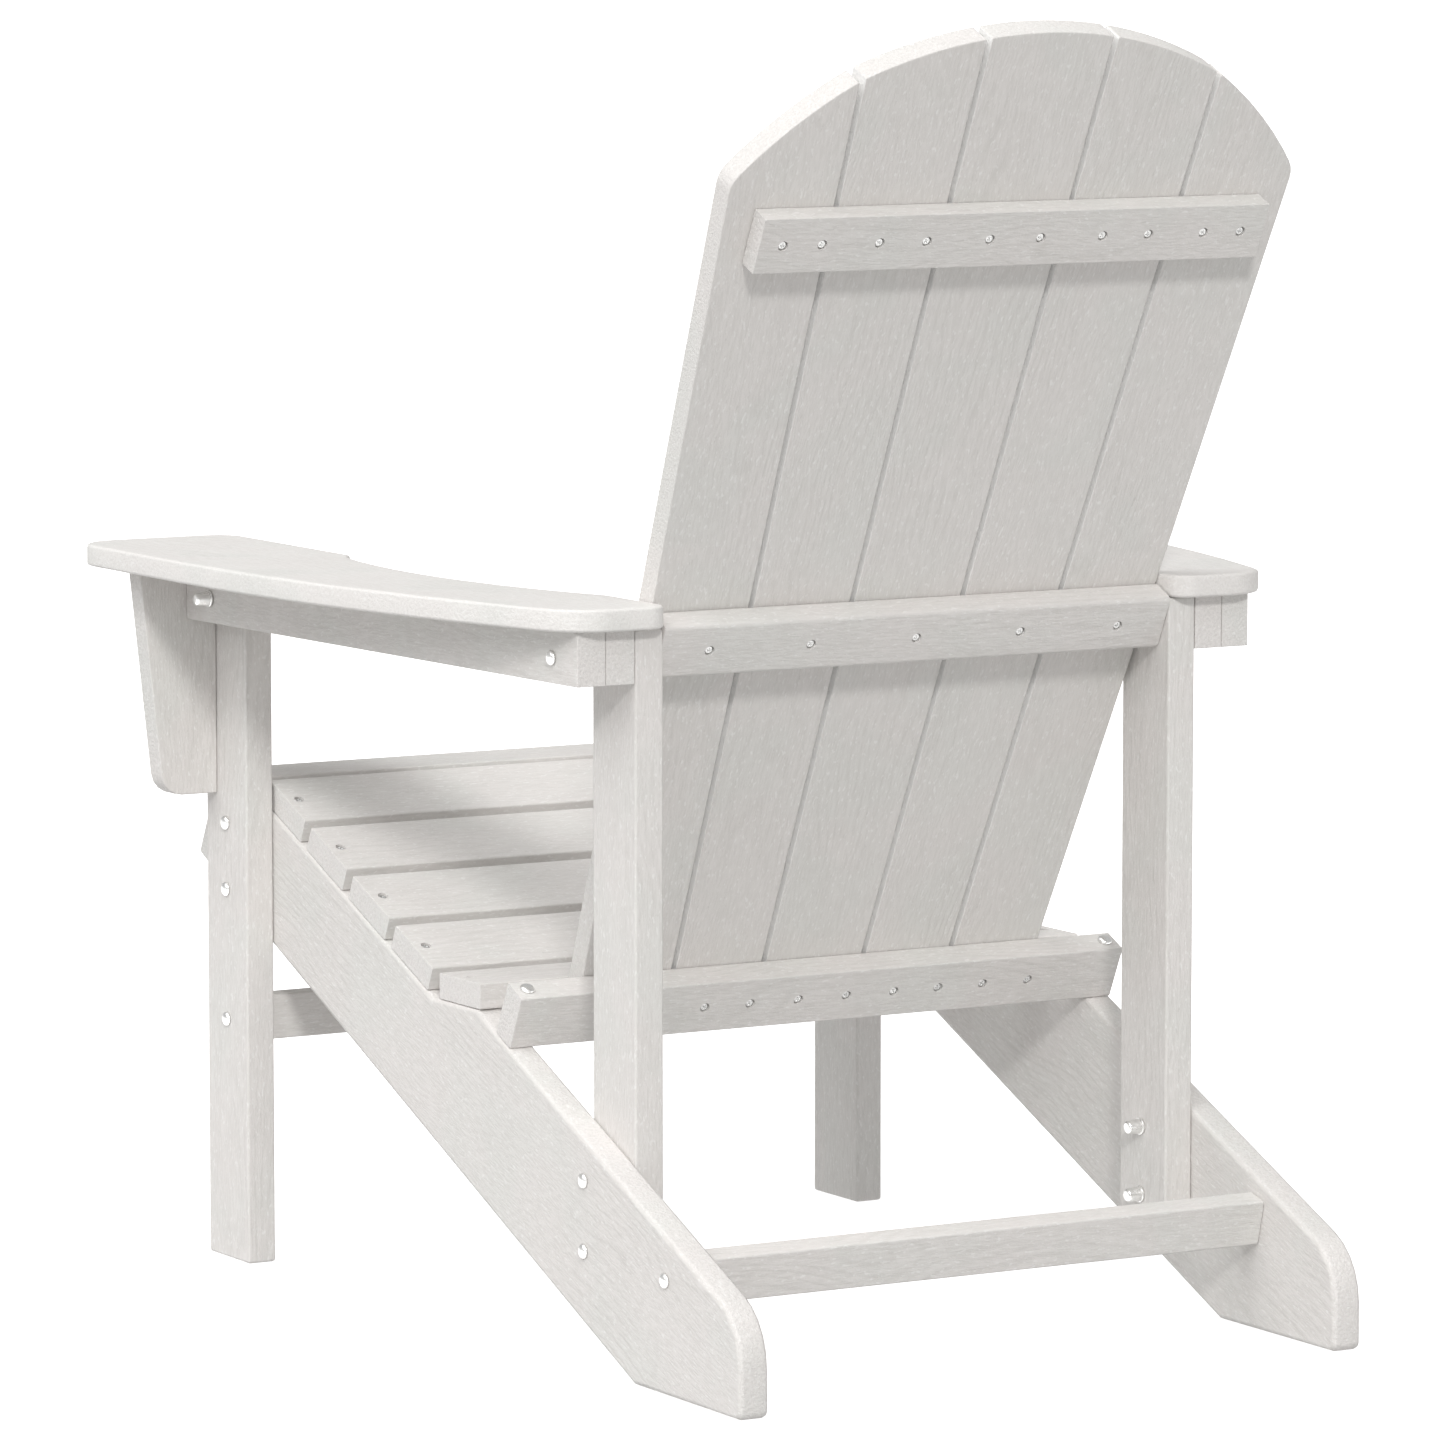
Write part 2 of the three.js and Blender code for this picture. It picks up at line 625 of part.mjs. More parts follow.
function armOutline(side) {
  const [outerRadius, innerRadius] = ARM_FRONT_RADII;
  const outerX = frontLegOuter + ARM_OUTER_OVERHANG;
  const innerX = frontLegInner - ARM_INNER_OVERHANG;
  const frontY = frontLegFront - ARM_FRONT_OVERHANG;
  const rearY = rearLegRear + ARM_REAR_OVERHANG;
  const stepY = frontLegRear + ARM_STEP_SETBACK;

  const sweepStart = frontLegRear + ARM_SWEEP_SETBACK;
  const sweepAngle = Math.asin((rearY - ARM_TAIL_LENGTH - sweepStart) / ARM_SWEEP_RADIUS);
  const sweep = arc(outerX - ARM_SWEEP_RADIUS, sweepStart, ARM_SWEEP_RADIUS, 0, sweepAngle, 8);
  const tailX = sweep.at(-1)[0] - Math.tan(sweepAngle) * ARM_TAIL_LENGTH;

  const armTop = legTop + GAP + ARM_STOCK;
  const tailInner = boundary(2, (armTop - back.position.z) / Math.cos(radians(BACK_LEAN))) + GAP;
  const hollowX = innerX + ARM_WAIST - ARM_HOLLOW_RADIUS;
  const hollowEnd = Math.acos((tailInner - hollowX) / ARM_HOLLOW_RADIUS);
  const hollowStart = -Math.acos((innerX + ARM_STEP_DEPTH - hollowX) / ARM_HOLLOW_RADIUS);
  const hollow = arc(hollowX, stepY + ARM_WAIST_SETBACK, ARM_HOLLOW_RADIUS, hollowEnd, hollowStart, 10);
  const corners = [
    [innerX, frontY, innerRadius],
    [outerX, frontY, outerRadius],
    ...sweep,
    [tailX, rearY, ARM_TAIL_RADIUS],
    [tailInner, rearY, ARM_TAIL_INNER_RADIUS],
    ...hollow,
    [innerX, stepY, ARM_STEP_RADIUS],
  ];
  return roundedOutline(corners.map(([x, y, radius]) => [side * x, y, radius]), 5);
}

function arm(name, side) {
  const mesh = board(name, armOutline(side), ARM_STOCK, ARM_EDGE, 'arm');
  mesh.position.z = legTop + GAP;
  return mesh;
}

function bracket(name, side) {
  const near = frontLegOuter + GAP;
  const foot = legTop - BRACKET_HEIGHT;
  const corners = [
    [side * near, foot, CORNER_RADIUS],
    [side * (near + BRACKET_FOOT_WIDTH), foot, BRACKET_RADIUS],
    [side * (near + BRACKET_TOP_WIDTH), legTop, CORNER_RADIUS],
    [side * near, legTop, CORNER_RADIUS],
  ];
  const mesh = board(name, roundedOutline(corners, 4), SLAT_STOCK, BRACKET_EDGE, 'frame');
  mesh.rotation.x = Math.PI / 2;
  mesh.position.y = bracketRear();
  return mesh;
}

// ---- Stretchers ---------------------------------------------------------------------------------

function stretcher(name, halfLength, y, z, tiltDegrees) {
  const mesh = bar(name, 2 * halfLength, STRETCHER_HEIGHT, SLAT_STOCK, STRETCHER_EDGE, 'frame');
  mesh.geometry.translate(0, -STRETCHER_HEIGHT / 2, -SLAT_STOCK / 2);
  mesh.rotation.x = Math.PI / 2 - radians(tiltDegrees);
  mesh.position.set(0, y, z);
  return mesh;
}

// ---- Fasteners ----------------------------------------------------------------------------------

function domeProfile(radius, height, base) {
  const points = [];
  const steps = 3;
  for (let index = 0; index <= steps; index += 1) {
    const angle = Math.PI / 2 * (1 - index / steps);
    points.push(new THREE.Vector2(radius * Math.cos(angle), base + height * Math.sin(angle)));
  }
  points[0].x = 0;
  return points;
}

// A dome-headed bolt along Y, its head standing on Y = 0 and its shank reaching down to -length.
function plainBolt(length) {
  const profile = [
    ...domeProfile(HEAD_RADIUS, HEAD_HEIGHT, 0),
    new THREE.Vector2(BOLT_RADIUS, 0),
    new THREE.Vector2(BOLT_RADIUS, -length),
    new THREE.Vector2(0, -length),
  ];
  return new THREE.LatheGeometry(profile.reverse(), BOLT_SIDES);
}

// The same bolt with a washer and a tapered cap nut on its far end, past a grip of the given length.
function nutBolt(grip) {
  const washerFoot = -grip - WASHER_HEIGHT;
  const nutFoot = washerFoot - NUT_HEIGHT;
  const cap = domeProfile(CAP_RADIUS, CAP_HEIGHT, 0).map(({ x, y }) => new THREE.Vector2(x, nutFoot - y));
  const profile = [
    ...domeProfile(HEAD_RADIUS, HEAD_HEIGHT, 0),
    new THREE.Vector2(BOLT_RADIUS, 0),
    new THREE.Vector2(BOLT_RADIUS, -grip),
    new THREE.Vector2(WASHER_RADIUS, -grip),
    new THREE.Vector2(WASHER_RADIUS, washerFoot),
    new THREE.Vector2(NUT_RADIUS, washerFoot),
    ...cap.reverse(),
  ];
  return new THREE.LatheGeometry(profile.reverse(), BOLT_SIDES);
}

// Places a bolt with its head on the given face, facing out along the given direction, and bores its
// way through the boards that it holds.
function placeBolt(name, geometry, face, outward, length, boards) {
  const mesh = new THREE.Mesh(toGeometry(toSolid(geometry)), steel());
  mesh.name = name;
  mesh.quaternion.setFromUnitVectors(new THREE.Vector3(0, 1, 0), outward);
  mesh.position.copy(face).addScaledVector(outward, GAP);
  const mouth = face.clone().addScaledVector(outward, 2);
  const bottom = face.clone().addScaledVector(outward, -length - 2 * GAP);
  for (const piece of boards) {
    bore(piece, mouth, bottom, BOLT_RADIUS + BORE_CLEARANCE, BOLT_SIDES);
  }
  return mesh;
}

// Screws of the upper rail end short of the front faces of the back slats.
const upperScrewSeat = ARM_STOCK - SCREW_SINK - SCREW_HEAD_HEIGHT;
const upperScrewLength = upperScrewSeat + SLAT_STOCK - SCREW_TIP_COVER;

function screw(name, x) {
  const profile = [
    ...domeProfile(SCREW_HEAD_RADIUS, SCREW_HEAD_HEIGHT / 2, SCREW_HEAD_HEIGHT / 2),
    new THREE.Vector2(SCREW_HEAD_RADIUS, 0),
    new THREE.Vector2(SCREW_RADIUS, 0),
    new THREE.Vector2(SCREW_RADIUS, -upperScrewLength),
    new THREE.Vector2(0, -upperScrewLength),
  ];
  const lathe = new THREE.LatheGeometry(profile.reverse(), SCREW_SIDES);
  const mesh = new THREE.Mesh(toGeometry(toSolid(lathe)), steel());
  mesh.name = name;
  mesh.position.set(x, upperScrewSeat + GAP, upperRailHeight + RAIL_HEIGHT / 2);
  return mesh;
}

// ---- Assembly -----------------------------------------------------------------------------------

const chair = new THREE.Group();
const slats = seatSlats();
chair.add(...slats);

const backBoards = backSlats();
const upperScrews = screwPlaces(UPPER_SCREWS, upperRailHeight);
const upperHalf = boundary(2, upperRailHeight + RAIL_HEIGHT / 2) - UPPER_RAIL_INSET;
const lowerLength = FRAME_WIDTH - 2 * SEAT_SLAT_INSET;
const lowerRail = backRail('back_rail_lower', lowerLength, 0, FRAME_STOCK, LOWER_RAIL_EDGE);
const middleSpan = 2 * (rearLegInner - GAP);
const middleRail = backRail('back_rail_middle', middleSpan, middleRailHeight, FRAME_STOCK, MIDDLE_RAIL_EDGE);
const upperRail = backRail('back_rail_upper', 2 * upperHalf, upperRailHeight, ARM_STOCK, UPPER_RAIL_EDGE);
sinkRailScrews(lowerRail, screwPlaces(LOWER_SCREWS, 0));
sinkRailScrews(middleRail, screwPlaces(MIDDLE_SCREWS, middleRailHeight));
sinkRailScrews(upperRail, upperScrews);
back.add(...backBoards, lowerRail, middleRail, upperRail);
chair.add(back);

const frontStretcherZ = heightAt(sideBottom, frontLegMiddle) - FRONT_STRETCHER_DROP;
const frontStretcher = stretcher('front_stretcher', sideOuter, frontLegMiddle, frontStretcherZ, 0);
const rearStretcherY = footFront + REAR_STRETCHER_SETBACK;
const rearStretcherZ = heightAt(sideTop, rearStretcherY) - REAR_STRETCHER_DROP;
const rearHalf = sideInner - GAP;
const tilt = REAR_STRETCHER_TILT;
const rearStretcher = stretcher('rear_stretcher', rearHalf, rearStretcherY, rearStretcherZ, tilt);
chair.add(frontStretcher, rearStretcher);
chair.updateMatrixWorld(true);

// Screws of the upper rail, two into each back slat.
function fitUpperScrews() {
  const places = upperScrews.toReversed().concat(upperScrews.map((x) => -x));
  places.forEach((x, index) => {
    const mesh = screw(`upper_rail_screw_${index + 1}`, x);
    back.add(mesh);
    const { y, z } = mesh.position;
    const start = back.localToWorld(new THREE.Vector3(x, y + SCREW_HEAD_HEIGHT, z));
    const end = back.localToWorld(new THREE.Vector3(x, y - upperScrewLength - GAP, z));
    for (const piece of [upperRail, backBoards[Math.floor(index / 2)]]) {
      bore(piece, start, end, SCREW_RADIUS + PILOT_CLEARANCE, SCREW_SIDES);
    }
  });
}

function buildSide(side, label) {
  const outward = new THREE.Vector3(side, 0, 0);
  const at = (x, y, z) => new THREE.Vector3(side * x, y, z);
  const sideBody = sideBoard(`side_board_${label}`, sideOutline(), SIDE_EDGE, sideInner, side);
  const frontLeg = sideBoard(`front_leg_${label}`, frontLegOutline(), LEG_EDGE, frontLegInner, side);
  const rearLeg = sideBoard(`rear_leg_${label}`, rearLegOutline(), LEG_EDGE, rearLegInner, side);
  const outerFront = bracketRear() + GAP;
  const outerRail = armRail(`arm_rail_outer_${label}`, side, outerFront, rearLegRear, 0);
  const innerFront = frontLegRear + GAP;
  const innerOffset = -FRAME_STOCK - GAP;
  const innerRail = armRail(`arm_rail_inner_${label}`, side, innerFront, rearLegRear, innerOffset);
  chair.add(sideBody, frontLeg, rearLeg, outerRail, innerRail);
  chair.add(bracket(`arm_bracket_${label}`, side), arm(`arm_${label}`, side));
  chair.updateMatrixWorld(true);

  const grip = 2 * FRAME_STOCK + 3 * GAP;
  const legBoltHeights = [
    nosePlace.front.y - SLAT_STOCK - LEG_BOLT_DROP,
    heightAt(sideBottom, frontLegMiddle) + LEG_BOLT_RISE,
  ];
  legBoltHeights.forEach((height, index) => {
    const face = at(frontLegOuter, frontLegMiddle, height);
    const name = `front_leg_bolt_${label}_${index + 1}`;
    chair.add(placeBolt(name, nutBolt(grip), face, outward, grip, [frontLeg, sideBody]));
  });
  rearLegBoltHeights.forEach((height, index) => {
    const face = at(sideOuter, rearLegBoltY, height);
    const name = `rear_leg_bolt_${label}_${index + 1}`;
    chair.add(placeBolt(name, nutBolt(grip), face, outward, grip, [sideBody, rearLeg]));
  });

  const frontEnd = at(frontLegOuter, frontLegMiddle, frontStretcherZ);
  const lag = plainBolt(LAG_LENGTH);
  const frontBoards = [frontLeg, frontStretcher];
  chair.add(placeBolt(`front_stretcher_bolt_${label}`, lag, frontEnd, outward, LAG_LENGTH, frontBoards));
  const rearEnd = at(sideOuter, rearStretcherY, rearStretcherZ);
  const rearBoards = [sideBody, rearStretcher];
  chair.add(placeBolt(`rear_stretcher_bolt_${label}`, lag, rearEnd, outward, LAG_LENGTH, rearBoards));

  const boltZ = legTop - ARM_BOLT_DROP;
  const skew = WASHER_RADIUS * Math.abs(railLineX(1) - railLineX(0));
  const rearLength = 3 * FRAME_STOCK - SCREW_TIP_COVER;
  const rearFace = at(railLineX(rearLegBoltY) + FRAME_STOCK + skew, rearLegBoltY, boltZ);
  const rearStack = [outerRail, innerRail, rearLeg];
  const rearName = `arm_rail_rear_bolt_${label}`;
  chair.add(placeBolt(rearName, plainBolt(rearLength), rearFace, outward, rearLength, rearStack));
  const frontY = frontLegRear - ARM_FRONT_BOLT_SETBACK;
  const railFace = railLineX(frontY) + FRAME_STOCK + skew + GAP;
  const frontGrip = railFace - frontLegInner + GAP;
  const headFace = at(frontLegInner, frontY, boltZ);
  const inward = outward.clone().negate();
  const frontName = `arm_rail_front_bolt_${label}`;
  chair.add(placeBolt(frontName, nutBolt(frontGrip), headFace, inward, frontGrip, [frontLeg, outerRail]));

  const leanUp = new THREE.Vector3(0, Math.sin(radians(BACK_LEAN)), Math.cos(radians(BACK_LEAN)));
  const railTop = back.localToWorld(at(sideCentre, FRAME_STOCK / 2 + GAP, RAIL_HEIGHT));
  const railLag = LAG_LENGTH + RAIL_HEIGHT / 2;
  const railName = `lower_rail_bolt_${label}`;
  chair.add(placeBolt(railName, plainBolt(railLag), railTop, leanUp, railLag, [lowerRail, sideBody]));
}

fitUpperScrews();
buildSide(1, 'left');
buildSide(-1, 'right');

// Centres the chair on its own bounding box.
chair.updateMatrixWorld(true);
const box = new THREE.Box3().setFromObject(chair, true);
chair.position.y = -(box.min.y + box.max.y) / 2;
chair.updateMatrixWorld(true);

export default chair;
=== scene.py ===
import math
import random

import bmesh
import bpy
from bpy.props import FloatProperty, FloatVectorProperty, IntProperty, PointerProperty
from mathutils import Matrix, Vector


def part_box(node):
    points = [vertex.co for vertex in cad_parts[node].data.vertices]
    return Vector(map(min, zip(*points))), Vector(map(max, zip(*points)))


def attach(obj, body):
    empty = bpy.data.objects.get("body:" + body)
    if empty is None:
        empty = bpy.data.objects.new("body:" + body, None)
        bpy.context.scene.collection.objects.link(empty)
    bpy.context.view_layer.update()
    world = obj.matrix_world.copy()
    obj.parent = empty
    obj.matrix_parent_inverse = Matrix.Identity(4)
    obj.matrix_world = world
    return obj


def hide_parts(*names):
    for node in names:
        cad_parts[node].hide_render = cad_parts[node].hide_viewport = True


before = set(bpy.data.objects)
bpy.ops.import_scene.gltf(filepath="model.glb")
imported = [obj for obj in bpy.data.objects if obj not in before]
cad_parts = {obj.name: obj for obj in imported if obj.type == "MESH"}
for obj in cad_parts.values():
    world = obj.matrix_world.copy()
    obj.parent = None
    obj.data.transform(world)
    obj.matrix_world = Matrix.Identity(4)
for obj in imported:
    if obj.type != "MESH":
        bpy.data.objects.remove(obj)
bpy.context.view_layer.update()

bl_info = {
    "name": "Adirondack Chair",
    "version": (1, 0, 0),
    "blender": (4, 5, 0),
    "location": "3D View > Sidebar > Chair",
    "description": "Finishes the boards and hardware of a plastic-lumber adirondack chair",
    "category": "Object",
}

# X is the sitter's left, -Y is the way the chair faces, and the floor is at Z = 0. Metres.
LEFT = Vector((1, 0, 0))
REAR = Vector((0, 1, 0))
UP = Vector((0, 0, 1))
SIDES = {"left": 1, "right": -1}
SIDE_RAKE = math.radians(23.6)      # fall of the side boards' lower edge towards the rear


# ---- Settings ------------------------------------------------------------------------------------

class LumberSettings(bpy.types.PropertyGroup):
    """Colour and embossed grain of the plastic lumber."""

    light: FloatVectorProperty(
        name="Face", description="Colour of a board's faces", subtype="COLOR",
        size=3, min=0, max=1, default=(0.815, 0.798, 0.778),
    )
    # Painted shade: the colour painted into the bottoms of the grain, where the relief would hold shade
    groove_shade: FloatVectorProperty(
        name="Groove", description="Colour at the bottom of the grain", subtype="COLOR",
        size=3, min=0, max=1, default=(0.62, 0.60, 0.575),
    )
    rose: FloatVectorProperty(
        name="Rosy patches", description="Tint of the warmer mottling", subtype="COLOR",
        size=3, min=0, max=1, default=(0.835, 0.80, 0.785),
    )
    moss: FloatVectorProperty(
        name="Cool patches", description="Tint of the greener mottling", subtype="COLOR",
        size=3, min=0, max=1, default=(0.79, 0.79, 0.765),
    )
    streak_width: FloatProperty(
        name="Streak width", description="Across one streak of the grain", subtype="DISTANCE",
        default=0.0019, min=0.0005, max=0.01,
    )
    streak_length: FloatProperty(
        name="Streak length", description="Along one streak of the grain", subtype="DISTANCE",
        default=0.011, min=0.005, max=0.2,
    )
    figure_spacing: FloatProperty(
        name="Figure spacing", description="Between the long swirling lines", subtype="DISTANCE",
        default=0.009, min=0.002, max=0.05,
    )
    emboss: FloatProperty(
        name="Emboss depth", description="Depth of the grain", subtype="DISTANCE",
        default=0.00028, min=0, max=0.002,
    )
    roughness: FloatProperty(
        name="Roughness", description="Roughness of the faces", subtype="FACTOR",
        default=0.5, min=0, max=1,
    )


class HardwareSettings(bpy.types.PropertyGroup):
    """Shapes and colour of the stainless bolts, nuts and screws."""

    metal: FloatVectorProperty(
        name="Metal", description="Colour of the bolts, nuts and screws", subtype="COLOR",
        size=3, min=0, max=1, default=(0.86, 0.86, 0.85),
    )
    bolt_head: FloatProperty(
        name="Bolt head", description="Across a bolt's domed head", subtype="DISTANCE",
        default=0.0108, min=0.004, max=0.03,
    )
    head_height: FloatProperty(
        name="Head height", description="Height of a bolt's domed head", subtype="DISTANCE",
        default=0.0034, min=0.001, max=0.01,
    )
    shank: FloatProperty(
        name="Shank", description="Across a bolt's shank", subtype="DISTANCE",
        default=0.006, min=0.002, max=0.02,
    )
    washer: FloatProperty(
        name="Washer", description="Across a washer", subtype="DISTANCE",
        default=0.0124, min=0.006, max=0.03,
    )
    nut: FloatProperty(
        name="Nut", description="Across a cap nut where it meets its washer", subtype="DISTANCE",
        default=0.0112, min=0.004, max=0.03,
    )
    nut_height: FloatProperty(
        name="Nut height", description="Height of a cap nut with its washer", subtype="DISTANCE",
        default=0.0121, min=0.005, max=0.03,
    )
    cap: FloatProperty(
        name="Cap", description="Across a cap nut where its rounded tip starts",
        subtype="DISTANCE", default=0.0094, min=0.004, max=0.03,
    )
    screw_head: FloatProperty(
        name="Screw head", description="Across a screw's head", subtype="DISTANCE",
        default=0.0066, min=0.003, max=0.02,
    )
    screw_height: FloatProperty(
        name="Screw head height", description="Height of a screw's head", subtype="DISTANCE",
        default=0.002, min=0.0005, max=0.01,
    )
    screw_shank: FloatProperty(
        name="Screw shank", description="Across a screw's shank", subtype="DISTANCE",
        default=0.004, min=0.001, max=0.01,
    )
    screw_turn: IntProperty(
        name="Screw turn seed", description="Seed for the way each screw's cross points", default=7,
    )


class StudioSettings(bpy.types.PropertyGroup):
    """Camera, floor and light."""

    azimuth: FloatProperty(
        name="Camera azimuth", description="Turn of the camera about the chair", subtype="ANGLE",
        default=math.radians(149.94),
    )
    elevation: FloatProperty(
        name="Camera elevation", description="Camera's angle above the horizon", subtype="ANGLE",
        default=math.radians(6.586),
    )
    distance: FloatProperty(
        name="Camera distance", description="From the camera to the point that it looks at",
        subtype="DISTANCE", default=5.911, min=1, max=50,
    )
    target: FloatVectorProperty(
        name="Looks at", description="Point that the camera looks at", subtype="TRANSLATION",
        size=3, default=(-0.0062, -0.0641, 0.4133),
    )
    lens: FloatProperty(
        name="Lens", description="Focal length in millimetres", default=200.1, min=20, max=400,
    )
    key: FloatProperty(
        name="Key light", description="Strength of the key light, from behind the chair",
        default=1.15, min=0, max=10,
    )
    key_angle: FloatProperty(
        name="Key softness", description="Angle that the key light fills", subtype="ANGLE",
        default=math.radians(8), min=0, max=math.radians(90),
    )
    top: FloatProperty(
        name="Top light", description="Strength of the wide light, from above the chair's left",
        default=1.62, min=0, max=10,
    )
    top_angle: FloatProperty(
        name="Top softness", description="Angle that the wide light fills", subtype="ANGLE",
        default=math.radians(60), min=0, max=math.radians(170),
    )
    fill: FloatProperty(
        name="Fill", description="Strength of the light from all round", default=0.50, min=0, max=5,
    )
    floor_glow: FloatProperty(
        name="Floor glow", description="Light that lifts the floor towards white",
        default=0.75, min=0, max=2,
    )


# ---- Shader helpers ------------------------------------------------------------------------------

class Value:
    """A number in a node tree. Arithmetic on it adds Math nodes."""

    def __init__(self, graph, socket):
        self.graph = graph
        self.socket = socket

    def math(self, operation, first, second=None):
        inputs = {0: first} if second is None else {0: first, 1: second}
        return self.graph.value("ShaderNodeMath", {"operation": operation}, inputs)

    def __add__(self, other):
        return self.math("ADD", self, other)

    __radd__ = __add__

    def __sub__(self, other):
        return self.math("SUBTRACT", self, other)

    def __rsub__(self, other):
        return self.math("SUBTRACT", other, self)

    def __mul__(self, other):
        return self.math("MULTIPLY", self, other)

    __rmul__ = __mul__

    def __truediv__(self, other):
        return self.math("DIVIDE", self, other)

    def __pow__(self, other):
        return self.math("POWER", self, other)

    def sine(self):
        return self.math("SINE", self)

    def ramp(self, low, high):
        """0 below low and 1 above high, eased between them."""
        settings = {"interpolation_type": "SMOOTHSTEP"}
        return self.graph.value("ShaderNodeMapRange", settings, {"Value": self, 1: low, 2: high})


class Graph:
    """A material's node tree."""

    def __init__(self, name):
        self.material = bpy.data.materials.new(name)
        self.material.use_nodes = True
        self.tree = self.material.node_tree
        self.shader = self.tree.nodes["Principled BSDF"]

    def node(self, kind, settings=None, inputs=None):
        """Adds a node, sets its settings, and then sets or links its inputs."""
        node = self.tree.nodes.new(kind)
        for name, setting in (settings or {}).items():
            setattr(node, name, setting)
        self.feed(node, inputs or {})
        return node

    def feed(self, node, inputs):
        for name, source in inputs.items():
            socket = node.inputs[name]
            source = getattr(source, "socket", source)
            if isinstance(source, bpy.types.NodeSocket):
                self.tree.links.new(source, socket)
            else:
                socket.default_value = source

    def value(self, kind, settings=None, inputs=None, output=0):
        return Value(self, self.node(kind, settings, inputs).outputs[output])

    def vector(self, x, y, z):
        return self.value("ShaderNodeCombineXYZ", {}, {0: x, 1: y, 2: z})

    def noise(self, where, detail=2.0, roughness=0.5, distortion=0.0, scale=1.0):
        inputs = {
            "Vector": where, "Scale": scale, "Detail": detail,
            "Roughness": roughness, "Distortion": distortion,
        }
        return self.value("ShaderNodeTexNoise", {"noise_dimensions": "3D"}, inputs)

    def blend(self, factor, first, second):
        """Mixes two colours."""
        settings = {"data_type": "RGBA", "clamp_factor": True}
        return self.value("ShaderNodeMix", settings, {0: factor, 6: first, 7: second}, output=2)

    def bump(self, height, distance, strength=1.0):
        inputs = {"Height": height, "Distance": distance, "Strength": strength}
        return self.value("ShaderNodeBump", {}, inputs)

    def finish(self, **inputs):
        self.feed(self.shader, {name.replace("_", " "): source for name, source in inputs.items()})
        return self.material


def opaque(colour):
    return (*colour, 1.0)


# ---- Materials -----------------------------------------------------------------------------------

# Cells of a pattern in a metre along, across and through a board
BEND_CELLS = (7, 22, 22)
SWIRL_CELLS = (5, 14, 14)
FIGURE_CELLS = (6, 16, 9)
FLECK_CELLS = (210, 480, 480)
BLOTCH_CELLS = (26, 60, 60)

# Cells of a pattern in a metre every way
GRIT_SCALE = 620.0
PIT_SCALE = 480.0
CHIP_SCALE = 240.0
PATCH_SCALE = 13.0
TURNING_MARK_SCALE = 900.0
BLOOM_SCALE = 160.0
FLOOR_PATCH_SCALE = 3.0

FLECK_COLOUR = (0.95, 0.945, 0.935, 1)
# Painted light on the walls of the gaps between back slats
GAP_PAINTED_LIGHT_COLOUR = (0.97, 0.965, 0.955, 1)
ARM_COLOUR = (0.865, 0.85, 0.83)
SWAY = 0.012                        # how far a streak wanders across its board
TURNING_MARK_DEPTH = 0.00002
BLOOM_SHADE = 0.72                  # brightness of dulled steel


